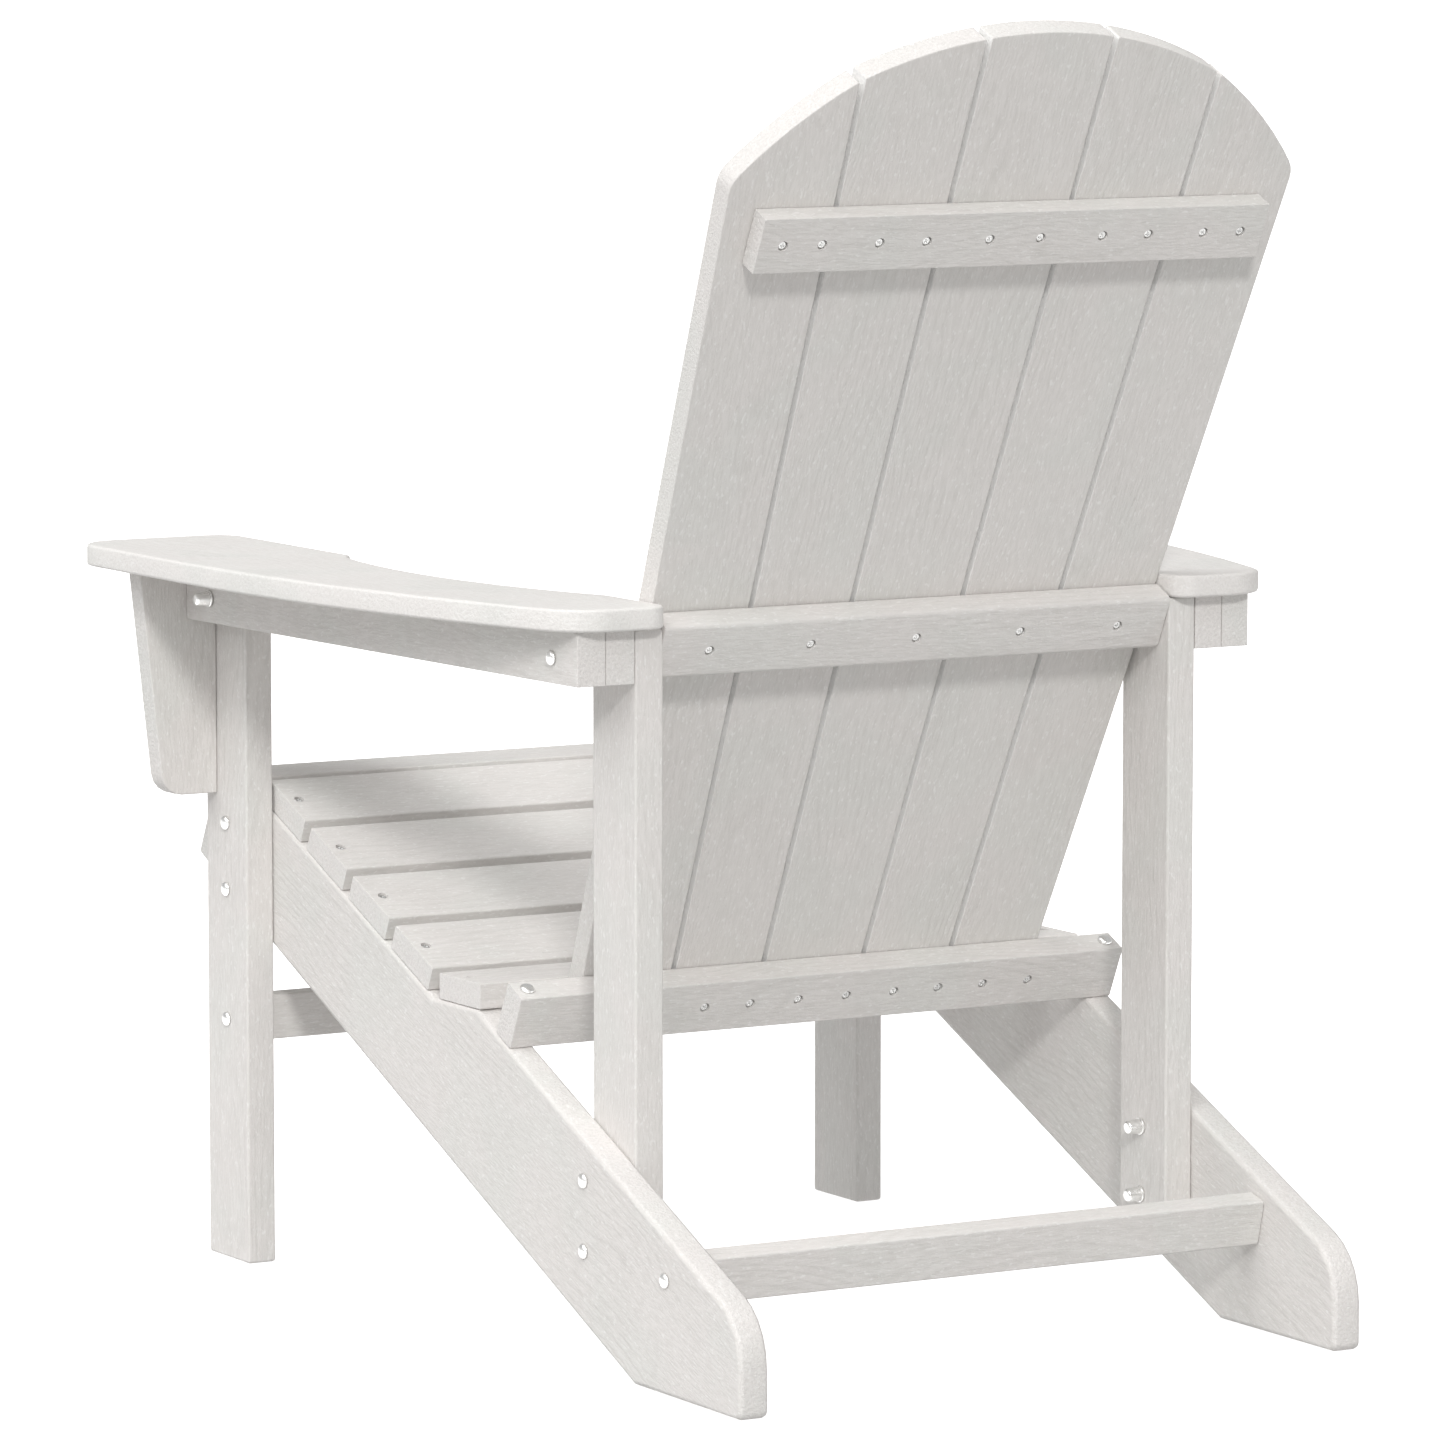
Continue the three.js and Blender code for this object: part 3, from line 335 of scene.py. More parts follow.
def lumber_material(name, settings, relief=1.0, warmth=0.5, light=None, gap_painted_light=0.0):
    """Embossed plastic lumber. Every board carries "board", its place along, across and through the
    board in metres, "sawn", which is 1 on faces that a saw has cut, and "edge", which is 1 on the
    long edges that face a neighbouring back slat, where painted light makes the gap's walls pale."""
    graph = Graph(name)
    place = graph.node("ShaderNodeAttribute", {"attribute_name": "board"})
    parts = graph.node("ShaderNodeSeparateXYZ", {}, {0: place.outputs["Vector"]})
    along, across, through = (Value(graph, socket) for socket in parts.outputs)

    def cells(counts):
        return graph.vector(along * counts[0], across * counts[1], through * counts[2])

    sawn = graph.value("ShaderNodeAttribute", {"attribute_name": "sawn"}, output="Fac")
    edge = graph.value("ShaderNodeAttribute", {"attribute_name": "edge"}, output="Fac")

    length, width = settings.streak_length, settings.streak_width
    bend = graph.noise(cells(BEND_CELLS), 2.0)
    sway = across + (bend - 0.5) * SWAY
    fine = graph.noise(graph.vector(along / length, sway / width, through / width), 3.0, 0.68)
    coarse_where = graph.vector(along / (5 * length), sway / (4 * width), through / (4 * width))
    coarse = graph.noise(coarse_where, 2.0, 0.5, 0.4)
    grit = graph.noise(place.outputs["Vector"], 2.0, 0.6, 0.0, GRIT_SCALE)

    # Long lines that flow round patches and close up into knots
    swirl = graph.noise(cells(SWIRL_CELLS), 1.0, 0.4, 0.6)
    turn = 2 * math.pi / settings.figure_spacing
    figure = ((across + through) * turn + (swirl - 0.5) * 60).sine() * 0.5 + 0.5
    where_figured = graph.noise(cells(FIGURE_CELLS), 1.0).ramp(0.40, 0.60)
    lines = (figure ** 3) * where_figured

    grain = fine.ramp(0.36, 0.62)
    height = grain * 0.5 + coarse * 0.35 + grit * 0.35 - lines * 0.35

    pits = graph.noise(place.outputs["Vector"], 3.0, 0.7, 0.0, PIT_SCALE)
    chips = graph.noise(place.outputs["Vector"], 1.0, 0.5, 0.0, CHIP_SCALE)
    sawn_height = pits.ramp(0.3, 0.7) * 1.1 + chips * 0.7
    faced = 1 - sawn
    relief_height = height * faced + sawn_height * sawn

    fleck_where = cells(FLECK_CELLS)
    flecks = graph.noise(fleck_where, 1.0).ramp(0.60, 0.74)
    specks = graph.noise(fleck_where, 2.0, 0.6, 0.0, 0.7).ramp(0.34, 0.27)
    patch = graph.noise(place.outputs["Vector"], 2.0, 0.5, 0.3, PATCH_SCALE)
    blotch = graph.noise(cells(BLOTCH_CELLS), 2.0, 0.6)

    light = light or settings.light
    face = graph.blend(patch.ramp(0.42, 0.62) * warmth, opaque(light), opaque(settings.rose))
    face = graph.blend(patch.ramp(0.50, 0.34) * 0.6, face, opaque(settings.moss))
    # Painted shade and real tone: darker where the relief is low (grain hollows, swirling lines, low
    # grit, pits of sawn faces) as painted shade, plus random blotches and dark specks of the board's own
    # tone
    depth = (1 - grain) * 0.20 + lines * 0.16 + (1 - blotch) * 0.26 + (1 - grit) * 0.12
    depth = (depth * faced + (1 - pits.ramp(0.34, 0.58)) * 0.32 * sawn) * relief
    face = graph.blend(depth + specks * 0.25, face, opaque(settings.groove_shade))
    face = graph.blend(flecks * 0.45, face, FLECK_COLOUR)
    # Painted light: the walls of the gaps between back slats are painted pale, in place of the light
    # that reaches into the gaps
    face = graph.blend(edge * gap_painted_light, face, GAP_PAINTED_LIGHT_COLOUR)

    polish = (1 - grain) * 0.14 + blotch * 0.10 + sawn * 0.16 + (settings.roughness - 0.10)
    normal = graph.bump(relief_height, settings.emboss * relief, 0.85)
    return graph.finish(Base_Color=face, Roughness=polish, Normal=normal, IOR=1.45)


def steel_material(name, settings, brightness=1.0, dullness=0.0):
    """Polished stainless steel with faint turning marks and a little bloom. `brightness` scales the
    steel's colour: painted highlight above 1, painted shade below 1.
    """
    graph = Graph(name)
    where = graph.node("ShaderNodeTexCoord").outputs["Object"]
    marks = graph.noise(where, 3.0, 0.6, 0.0, TURNING_MARK_SCALE)
    bloom = graph.noise(where, 2.0, 0.5, 0.0, BLOOM_SCALE)
    # Painted light: brightness lifts or lowers the one steel's colour for each copy
    bright = [channel * brightness for channel in settings.metal]
    dull = [channel * BLOOM_SHADE for channel in bright]
    tone = graph.blend(bloom.ramp(0.45, 0.75) * 0.5, opaque(bright), opaque(dull))
    rough = bloom * 0.16 + marks * 0.12 + (0.16 + dullness)
    normal = graph.bump(marks, TURNING_MARK_DEPTH, 0.5)
    return graph.finish(Base_Color=tone, Roughness=rough, Metallic=1.0, Normal=normal)


def finish_for(slot):
    """The material for a slot, made when it is first asked for."""
    lumber, hardware = bpy.context.scene.chair_lumber, bpy.context.scene.chair_hardware
    name = f"{slot}_finish"
    makers = {
        # The slats' finish paints light into the gaps between back slats
        "slat_lumber": lambda: lumber_material(name, lumber, warmth=0.45, gap_painted_light=0.9),
        "frame_lumber": lambda: lumber_material(name, lumber, relief=1.15, warmth=0.6),
        "arm_lumber": lambda: lumber_material(name, lumber, relief=0.7, warmth=0.35, light=ARM_COLOUR),
        # The bolts' copy of the steel is painted brighter as a painted highlight on their heads; the
        # screws' copy is painted darker as painted shade from their pockets
        "bolt_steel": lambda: steel_material(name, hardware, brightness=1.08),
        "screw_steel": lambda: steel_material(name, hardware, brightness=0.72, dullness=0.14),
    }
    return bpy.data.materials.get(name) or makers[slot]()


# ---- Boards --------------------------------------------------------------------------------------

MERGE_DISTANCE = 2e-6
FACE_GUIDE = Vector((0.3, 0.6, 1))  # a board's face normal is taken on this side
ALONG_GUIDE = 0.94                  # cosine, how closely an edge follows the grain's guide
FACING = 0.72                       # cosine, how closely a face follows a direction
CRISP_TURN = math.radians(52)       # edges that turn more than this stay sharp
PLANED_EDGE = 0.12                  # how sawn a board's planed long edge looks
GRAIN_SEED = 7919
GRAIN_SHIFT = 4                     # metres, so that no two boards share their grain
OUTER_SLAT_OFFSET = 0.14            # the outermost back slats' middles lie farther out
ARCH_RISE = 0.3                     # faces that point up more than this are on the arch
LUMBER_WEIGHT = 100                 # how far large faces outweigh small ones when shading


def cad_mesh(node):
    """A merged copy of a CAD node's mesh."""
    shape = bmesh.new()
    shape.from_mesh(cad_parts[node].data)
    bmesh.ops.remove_doubles(shape, verts=shape.verts, dist=MERGE_DISTANCE)
    return shape


def face_direction(shape):
    """Normal of the flattest, largest face of a board, pointing up or to the rear."""
    sums = {}
    for face in shape.faces:
        key = tuple(round(abs(part), 2) for part in face.normal)
        normal = face.normal if face.normal.dot(FACE_GUIDE) > 0 else -face.normal
        area, total = sums.get(key, (0, Vector()))
        sums[key] = (area + face.calc_area(), total + normal * face.calc_area())
    return max(sums.values(), key=lambda entry: entry[0])[1].normalized()


def lengthwise(shape, normal, guide):
    """Direction of a board's longest edges that lies closest to the guide."""
    total = Vector()
    for edge in shape.edges:
        span = edge.verts[1].co - edge.verts[0].co
        if span.length > MERGE_DISTANCE / 2 and abs(span.normalized().dot(guide)) > ALONG_GUIDE:
            total += span * (1 if span.dot(guide) > 0 else -1) * span.length
    direction = total if total.length > 1e-9 else guide.copy()
    return (direction - normal * direction.dot(normal)).normalized()


def finished_board(node, slot, guide, sawn_edges, paint_gap_light=False):
    """Copies a board, softens its rounded edges and records where the grain runs on it. With
    `paint_gap_light`, the long edges that lie against another board are marked in "edge", where the
    material paints pale light into the gaps between slats."""
    shape = cad_mesh(node)
    shape.normal_update()
    normal = face_direction(shape)
    along = lengthwise(shape, normal, guide)
    across = normal.cross(along)
    soften(shape, CRISP_TURN)

    shift = random.Random(sum(map(ord, node)) * GRAIN_SEED)
    start = Vector([shift.uniform(-GRAIN_SHIFT, GRAIN_SHIFT) for _ in range(3)])
    place = shape.verts.layers.float_vector.new("board")
    for vert in shape.verts:
        at = vert.co
        vert[place] = Vector((at.dot(along), at.dot(across), at.dot(normal))) + start
    middle = sum((vert.co for vert in shape.verts), Vector()) / len(shape.verts)
    sawn_layer = shape.faces.layers.float.new("sawn")
    gap_light_layer = shape.faces.layers.float.new("edge")
    for face in shape.faces:
        flat = abs(face.normal.dot(normal)) > FACING
        end = abs(face.normal.dot(along)) > FACING
        face[sawn_layer] = 0.0 if flat else 1.0 if end or sawn_edges else PLANED_EDGE
        # Painted light: long edges that face a neighbouring slat are painted pale in the gap
        pale = paint_gap_light and not (flat or end or faces_out(face, middle))
        face[gap_light_layer] = 1.0 if pale else 0.0

    mesh = bpy.data.meshes.new(f"{node}_board")
    shape.to_mesh(mesh)
    shape.free()
    mesh.materials.append(finish_for(slot))
    piece = link(f"{node}_board", mesh)
    weigh_normals(piece)
    return hand_over(piece, slot, node)


def soften(shape, crisp_turn):
    """Shades a mesh smoothly, except across edges that turn more than the given angle."""
    for edge in shape.edges:
        edge.smooth = edge.calc_face_angle(0.0) < crisp_turn
    for face in shape.faces:
        face.smooth = True


def faces_out(face, middle):
    """Whether a long edge lies on the outside of the fan-shaped back and not against another slat."""
    upwards = face.normal.z > ARCH_RISE
    outermost = abs(middle.x) > OUTER_SLAT_OFFSET and face.normal.x * middle.x > 0
    return upwards or outermost


def weigh_normals(piece):
    """Keeps flat faces flat while the rounded edges between them shade smoothly."""
    weigh = piece.modifiers.new("edges", "WEIGHTED_NORMAL")
    weigh.keep_sharp = True
    weigh.weight = LUMBER_WEIGHT
    apply_modifiers(piece)


def apply_modifiers(piece):
    """Turns what a piece's modifiers make into its own mesh."""
    depsgraph = bpy.context.evaluated_depsgraph_get()
    evaluated = piece.evaluated_get(depsgraph)
    mesh = bpy.data.meshes.new_from_object(
        evaluated, preserve_all_data_layers=True, depsgraph=depsgraph,
    )
    piece.modifiers.clear()
    old = piece.data
    piece.data = mesh
    mesh.name = old.name
    bpy.data.meshes.remove(old)
    return piece


def link(name, mesh):
    piece = bpy.data.objects.new(name, mesh)
    bpy.context.scene.collection.objects.link(piece)
    return piece


def hand_over(piece, slot, *nodes):
    """The piece stands for its CAD nodes and moves with the chair."""
    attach(piece, "root")
    if nodes:
        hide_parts(*nodes)
    return piece


# ---- Bolts ---------------------------------------------------------------------------------------

ROUND = 40                          # sides of a turned body
FIT = 0.00002                       # left between two turned bodies of a bolt
WASHER_THICKNESS = 0.0015
NUT_EDGE = 0.00025                  # bevel on washers and nuts
TIP_ROUND = 0.42                    # rounding of a cap nut's tip, of the cap's radius
TIP_STEPS = 6
HEAD_RIM = 0.16                     # rim of a bolt's head, of its height
HEAD_STEPS = 8
HEAD_REACH = 0.004                  # a CAD bolt's head is this near its outer end
POINT_LENGTH = 0.003                # tapered end of a bolt without a nut
TURNED_CRISP_TURN = math.radians(34)


def ring(height, radius):
    """Points of a turned ring."""
    angles = [2 * math.pi * index / ROUND for index in range(ROUND)]
    return [Vector((radius * math.cos(angle), radius * math.sin(angle), height)) for angle in angles]


def turned(shape, rings):
    """Adds one closed body through rings that run from its lower end to its upper end."""
    rows = [[shape.verts.new(point) for point in points] for points in rings]
    for low, high in zip(rows, rows[1:]):
        for index in range(ROUND):
            after = (index + 1) % ROUND
            shape.faces.new((low[index], low[after], high[after], high[index]))
    shape.faces.new(list(reversed(rows[0])))
    shape.faces.new(rows[-1])


def dome(radius, height, base, steps, flat=0.12):
    """Rings of a dome that rises from a full ring to a small flat top."""
    rings = []
    for index in range(steps + 1):
        angle = math.pi / 2 * index / steps
        reach = max(radius * math.cos(angle), radius * flat)
        rings.append(ring(base + height * math.sin(angle), reach))
    return rings


def bolt_head(shape, hardware):
    """A low dome with a narrow rim, standing on the board's face at Z = 0."""
    radius, height = hardware.bolt_head / 2, hardware.head_height
    rim = height * HEAD_RIM
    rings = [ring(0, radius * 0.97), ring(rim * 0.5, radius)]
    turned(shape, rings + dome(radius, height - rim, rim, HEAD_STEPS))


def cap_nut(shape, hardware, seat):
    """A washer below the seat height, and a tapered cap nut with a rounded tip below that."""
    washer, body, cap = hardware.washer / 2, hardware.nut / 2, hardware.cap / 2
    foot = seat - WASHER_THICKNESS
    turned(shape, [
        ring(foot, washer - NUT_EDGE), ring(foot + NUT_EDGE, washer),
        ring(seat - NUT_EDGE, washer), ring(seat, washer - NUT_EDGE),
    ])
    top = foot - FIT
    tip = seat - hardware.nut_height
    tip_round = cap * TIP_ROUND
    rings = [ring(top, body - NUT_EDGE), ring(top - NUT_EDGE, body), ring(tip + tip_round, cap)]
    for index in range(1, TIP_STEPS + 1):
        angle = math.pi / 2 * index / TIP_STEPS
        reach = cap - tip_round * (1 - math.cos(angle))
        rings.append(ring(tip + tip_round * (1 - math.sin(angle)), reach))
    rings.append(ring(tip, cap * 0.3))
    turned(shape, list(reversed(rings)))


def finished_bolt(node, outward, nut):
    """Builds a bolt on its CAD node's own axis, its head outward."""
    hardware = bpy.context.scene.chair_hardware
    points = [vert.co.copy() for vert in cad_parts[node].data.vertices]
    spans = [point.dot(outward) for point in points]
    head_end, far_end = max(spans), min(spans)
    low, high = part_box(node)
    centre = (low + high) / 2
    if abs(outward.x) < 0.5:
        heads = [point for point, span in zip(points, spans) if head_end - span < HEAD_REACH]
        centre = sum(heads, Vector()) / len(heads)
    seat = centre + outward * (head_end - hardware.head_height - centre.dot(outward))

    shape = bmesh.new()
    bolt_head(shape, hardware)
    length = head_end - far_end - hardware.head_height
    shank = hardware.shank / 2
    if nut:
        grip = length - hardware.nut_height
        turned(shape, [ring(-grip + FIT, shank), ring(-FIT, shank)])
        cap_nut(shape, hardware, -grip)
    else:
        taper = -length + POINT_LENGTH
        turned(shape, [ring(-length, shank * 0.4), ring(taper, shank), ring(-FIT, shank)])
    turn = outward.to_track_quat("Z", "Y").to_matrix().to_4x4()
    bmesh.ops.transform(shape, matrix=Matrix.Translation(seat) @ turn, verts=shape.verts)
    shape.normal_update()
    soften(shape, TURNED_CRISP_TURN)
    mesh = bpy.data.meshes.new(f"{node}_turned")
    shape.to_mesh(mesh)
    shape.free()
    mesh.materials.append(finish_for("bolt_steel"))
    return hand_over(link(f"{node}_turned", mesh), "bolt_steel", node)


# ---- Screws --------------------------------------------------------------------------------------

POCKET_DEPTH = 0.0031
POCKET_SLACK = 0.0006               # how far a pocket's floor may lie from that depth
POCKET_WIDEST = 0.02                # a larger face at that depth isn't a pocket
HEAD_LIFT = 0.0003                  # underside of a head above its pocket's floor
HEAD_SIDES = 32
HEAD_RINGS = 9
HEAD_EDGE = 0.45                    # height of a head's edge, of the whole head
CROSS_REACH = 0.62                  # half the cross, of the head's radius
CROSS_WIDTH = 0.17                  # half an arm of the cross, of the head's radius
CROSS_DEPTH = 0.62                  # of the head's height
SHANK_SIDES = 12
LONG_SHANK = 0.026                  # upper rail's screws, which hold the back slats
SHORT_SHANK = 0.004                 # screws whose shanks stay inside their own board
SCREW_CRISP_TURN = math.radians(50)


def pockets(node):
    """Centre and outward direction of each screw pocket's floor in a board, always in the same order."""
    shape = cad_mesh(node)
    shape.normal_update()
    normal = face_direction(shape)
    levels = [vert.co.dot(normal) for vert in shape.verts]
    found = []
    for outward, surface in ((normal, max(levels)), (-normal, -min(levels))):
        floor = surface - POCKET_DEPTH
        faces = {
            face for face in shape.faces
            if face.normal.dot(outward) > 0.99
            and abs(face.calc_center_median().dot(outward) - floor) < POCKET_SLACK
        }
        while faces:
            group, queue = set(), [faces.pop()]
            while queue:
                face = queue.pop()
                group.add(face)
                near = {other for edge in face.edges for other in edge.link_faces} & faces
                faces -= near
                queue += near
            corners = {vert for face in group for vert in face.verts}
            outer = [vert.co for vert in corners]
            low = Vector([min(point[axis] for point in outer) for axis in range(3)])
            high = Vector([max(point[axis] for point in outer) for axis in range(3)])
            if (high - low).length < POCKET_WIDEST:
                found.append(((low + high) / 2, outward.copy()))
    shape.free()
    return sorted(found, key=lambda pocket: tuple(pocket[0]))


def screw_head_mesh(hardware):
    """A pan head with a cross recess, its underside at Z = 0."""
    radius, height = hardware.screw_head / 2, hardware.screw_height
    shape = bmesh.new()
    rows = []
    for row in range(HEAD_RINGS, 0, -1):
        reach = radius * row / HEAD_RINGS
        bulge = (1 - HEAD_EDGE) * math.sqrt(max(0, 1 - (reach / radius) ** 2.4))
        points = []
        for index in range(HEAD_SIDES):
            angle = 2 * math.pi * index / HEAD_SIDES
            x, y = reach * math.cos(angle), reach * math.sin(angle)
            arm = min(max(abs(x), abs(y)) / (radius * CROSS_REACH), 1)
            slot = min(abs(x), abs(y)) / (radius * CROSS_WIDTH)
            cut = max(0.0, 1 - slot ** 4) * max(0.0, 1 - arm ** 3)
            points.append(shape.verts.new((x, y, height * (HEAD_EDGE + bulge - CROSS_DEPTH * cut))))
        rows.append(points)
    base = [shape.verts.new((v.co.x, v.co.y, 0)) for v in rows[0]]
    bands = [base] + rows
    for low, high in zip(bands, bands[1:]):
        for index in range(HEAD_SIDES):
            after = (index + 1) % HEAD_SIDES
            shape.faces.new((low[index], low[after], high[after], high[index]))
    middle = shape.verts.new((0, 0, height * (1 - CROSS_DEPTH)))
    for index in range(HEAD_SIDES):
        shape.faces.new((rows[-1][index], rows[-1][(index + 1) % HEAD_SIDES], middle))
    shape.faces.new(list(reversed(base)))
    soften(shape, SCREW_CRISP_TURN)
    mesh = bpy.data.meshes.new("screw_head")
    shape.to_mesh(mesh)
    shape.free()
    return mesh


def screw_tree():
    """Geometry Nodes that set a screw, head and shank, at every point of a cloud of pockets."""
    tree = bpy.data.node_groups.new("Screws in pockets", "GeometryNodeTree")
    face = tree.interface
    face.new_socket("Pockets", in_out="INPUT", socket_type="NodeSocketGeometry")
    face.new_socket("Head", in_out="INPUT", socket_type="NodeSocketObject")
    face.new_socket("Shank Radius", in_out="INPUT", socket_type="NodeSocketFloat")
    face.new_socket("Shank Length", in_out="INPUT", socket_type="NodeSocketFloat")
    face.new_socket("Turn Seed", in_out="INPUT", socket_type="NodeSocketInt")
    face.new_socket("Metal", in_out="INPUT", socket_type="NodeSocketMaterial")
    face.new_socket("Screws", in_out="OUTPUT", socket_type="NodeSocketGeometry")

    def add(kind, settings=None, inputs=None):
        node = tree.nodes.new(kind)
        for name, setting in (settings or {}).items():
            setattr(node, name, setting)
        for name, source in (inputs or {}).items():
            if isinstance(source, bpy.types.NodeSocket):
                tree.links.new(source, node.inputs[name])
            else:
                node.inputs[name].default_value = source
        return node

    given = add("NodeGroupInput").outputs
    head = add("GeometryNodeObjectInfo", {}, {"Object": given["Head"]})
    shank = add("GeometryNodeMeshCylinder", {"fill_type": "NGON"}, {
        "Vertices": SHANK_SIDES, "Radius": given["Shank Radius"], "Depth": given["Shank Length"],
    })
    half = add("ShaderNodeMath", {"operation": "MULTIPLY"}, {0: given["Shank Length"], 1: -0.5})
    down = add("ShaderNodeCombineXYZ", {}, {2: half.outputs[0]})
    lowered = add("GeometryNodeTransform", {}, {
        "Geometry": shank.outputs["Mesh"], "Translation": down.outputs[0],
    })
    screw = add("GeometryNodeJoinGeometry")
    tree.links.new(lowered.outputs[0], screw.inputs[0])
    tree.links.new(head.outputs["Geometry"], screw.inputs[0])

    outward = add("GeometryNodeInputNamedAttribute", {"data_type": "FLOAT_VECTOR"}, {"Name": "outward"})
    aimed = add("FunctionNodeAlignRotationToVector", {"axis": "Z"}, {"Vector": outward.outputs[0]})
    spin = add("FunctionNodeRandomValue", {"data_type": "FLOAT"}, {
        2: 0.0, 3: math.tau, "Seed": given["Turn Seed"],
    })
    about = add("ShaderNodeCombineXYZ", {}, {2: spin.outputs[1]})
    spun = add("FunctionNodeEulerToRotation", {}, {0: about.outputs[0]})
    facing = add("FunctionNodeRotateRotation", {"rotation_space": "LOCAL"}, {
        0: aimed.outputs[0], 1: spun.outputs[0],
    })
    points = add("GeometryNodeMeshToPoints", {}, {"Mesh": given["Pockets"]})
    placed = add("GeometryNodeInstanceOnPoints", {}, {
        "Points": points.outputs[0], "Instance": screw.outputs[0], "Rotation": facing.outputs[0],
    })
    real = add("GeometryNodeRealizeInstances", {}, {"Geometry": placed.outputs[0]})
    coated = add("GeometryNodeSetMaterial", {}, {
        "Geometry": real.outputs[0], "Material": given["Metal"],
    })
    add("NodeGroupOutput", {}, {"Screws": coated.outputs[0]})
    return tree


def finished_screws(name, boards, shank_length, nodes=()):
    """Screws in every pocket of the boards, made as one mesh."""
    hardware = bpy.context.scene.chair_hardware
    spots = [spot for board in boards for spot in pockets(board)]
    if not spots:
        raise RuntimeError(f"no screw pockets were found in {', '.join(boards)}")
    cloud = bpy.data.meshes.new(name)
    cloud.from_pydata([tuple(centre + outward * HEAD_LIFT) for centre, outward in spots], [], [])
    direction = cloud.attributes.new("outward", "FLOAT_VECTOR", "POINT")
    for entry, (_, outward) in zip(direction.data, spots):
        entry.vector = outward
    piece = link(name, cloud)
    head = link("screw_head_pattern", screw_head_mesh(hardware))

    tree = screw_tree()
    modifier = piece.modifiers.new("screws", "NODES")
    modifier.node_group = tree
    values = {
        "Head": head,
        "Shank Radius": hardware.screw_shank / 2,
        "Shank Length": shank_length,
        "Turn Seed": hardware.screw_turn,
        "Metal": finish_for("screw_steel"),
    }
    for item in tree.interface.items_tree:
        if item.in_out == "INPUT" and item.name in values:
            modifier[item.identifier] = values[item.name]
    apply_modifiers(piece)
    pattern = head.data
    bpy.data.objects.remove(head)
    bpy.data.meshes.remove(pattern)
    bpy.data.node_groups.remove(tree)
    print(name, len(spots), "screws", len(piece.data.polygons), "faces")
    return hand_over(piece, "screw_steel", *nodes)


# ---- Operators -----------------------------------------------------------------------------------

class CHAIR_OT_seat_slats(bpy.types.Operator):
    """Finish the seat's slats, from the tilted apron to the level rear slat"""

    bl_idname = "chair.seat_slats"
    bl_label = "Seat Slats"

    def execute(self, context):
        for index in range(1, 8):
            finished_board(f"seat_slat_{index}", "slat_lumber", LEFT, False)
        return {"FINISHED"}


class CHAIR_OT_back_slats(bpy.types.Operator):
    """Finish the fan of back slats"""

    bl_idname = "chair.back_slats"
    bl_label = "Back Slats"

    def execute(self, context):
        for index in range(1, 6):
            # The last True paints light into the gaps between neighbouring slats
            finished_board(f"back_slat_{index}", "slat_lumber", lean_direction(), True, True)
        return {"FINISHED"}


class CHAIR_OT_cross_boards(bpy.types.Operator):
    """Finish the back rails and the stretchers"""

    bl_idname = "chair.cross_boards"
    bl_label = "Rails and Stretchers"

    def execute(self, context):
        rails = ("back_rail_lower", "back_rail_middle", "back_rail_upper")
        for name in (*rails, "front_stretcher", "rear_stretcher"):
            finished_board(name, "frame_lumber", LEFT, False)
        return {"FINISHED"}


class CHAIR_OT_side_frames(bpy.types.Operator):
    """Finish the side boards and the legs"""

    bl_idname = "chair.side_frames"
    bl_label = "Side Boards and Legs"

    def execute(self, context):
        rake = Vector((0, math.cos(SIDE_RAKE), -math.sin(SIDE_RAKE)))
        for side in SIDES:
            finished_board(f"side_board_{side}", "frame_lumber", rake, True)
            finished_board(f"front_leg_{side}", "frame_lumber", UP, False)
            finished_board(f"rear_leg_{side}", "frame_lumber", UP, False)
        return {"FINISHED"}


class CHAIR_OT_arms(bpy.types.Operator):
    """Finish the arms, their rails and their brackets"""

    bl_idname = "chair.arms"
    bl_label = "Arms"

    def execute(self, context):
        for side in SIDES:
            finished_board(f"arm_{side}", "arm_lumber", REAR, True)
            finished_board(f"arm_rail_outer_{side}", "frame_lumber", REAR, False)
            finished_board(f"arm_rail_inner_{side}", "frame_lumber", REAR, False)
            finished_board(f"arm_bracket_{side}", "frame_lumber", UP, True)
        return {"FINISHED"}


class CHAIR_OT_bolts(bpy.types.Operator):
    """Turn the bolts, washers and cap nuts"""

    bl_idname = "chair.bolts"
    bl_label = "Bolts"

    def execute(self, context):
        for side, sign in SIDES.items():
            outward = LEFT * sign
            for index in (1, 2):
                finished_bolt(f"front_leg_bolt_{side}_{index}", outward, True)
                finished_bolt(f"rear_leg_bolt_{side}_{index}", outward, True)
            finished_bolt(f"front_stretcher_bolt_{side}", outward, False)
            finished_bolt(f"rear_stretcher_bolt_{side}", outward, False)
            finished_bolt(f"arm_rail_rear_bolt_{side}", outward, False)
            finished_bolt(f"arm_rail_front_bolt_{side}", -outward, True)
            finished_bolt(f"lower_rail_bolt_{side}", lean_direction(), False)
        return {"FINISHED"}


class CHAIR_OT_screws(bpy.types.Operator):
    """Set the screws in the back rails and the seat slats"""

    bl_idname = "chair.screws"
    bl_label = "Screws"

    def execute(self, context):
        upper = [f"upper_rail_screw_{index}" for index in range(1, 11)]
        seat = [f"seat_slat_{index}" for index in range(1, 8)]
        finished_screws("upper_rail_screws", ["back_rail_upper"], LONG_SHANK, upper)
        finished_screws("middle_rail_screws", ["back_rail_middle"], SHORT_SHANK)
        finished_screws("lower_rail_screws", ["back_rail_lower"], SHORT_SHANK)
        finished_screws("seat_screws", seat, SHORT_SHANK)
        return {"FINISHED"}


class CHAIR_OT_studio(bpy.types.Operator):
    """Lay the pale floor and set the light and the camera"""

    bl_idname = "chair.studio"
    bl_label = "Studio"

    def execute(self, context):
        studio = context.scene.chair_studio
        add_floor(studio)
        add_light(context.scene, studio)
        add_camera(context.scene, studio)
        return {"FINISHED"}


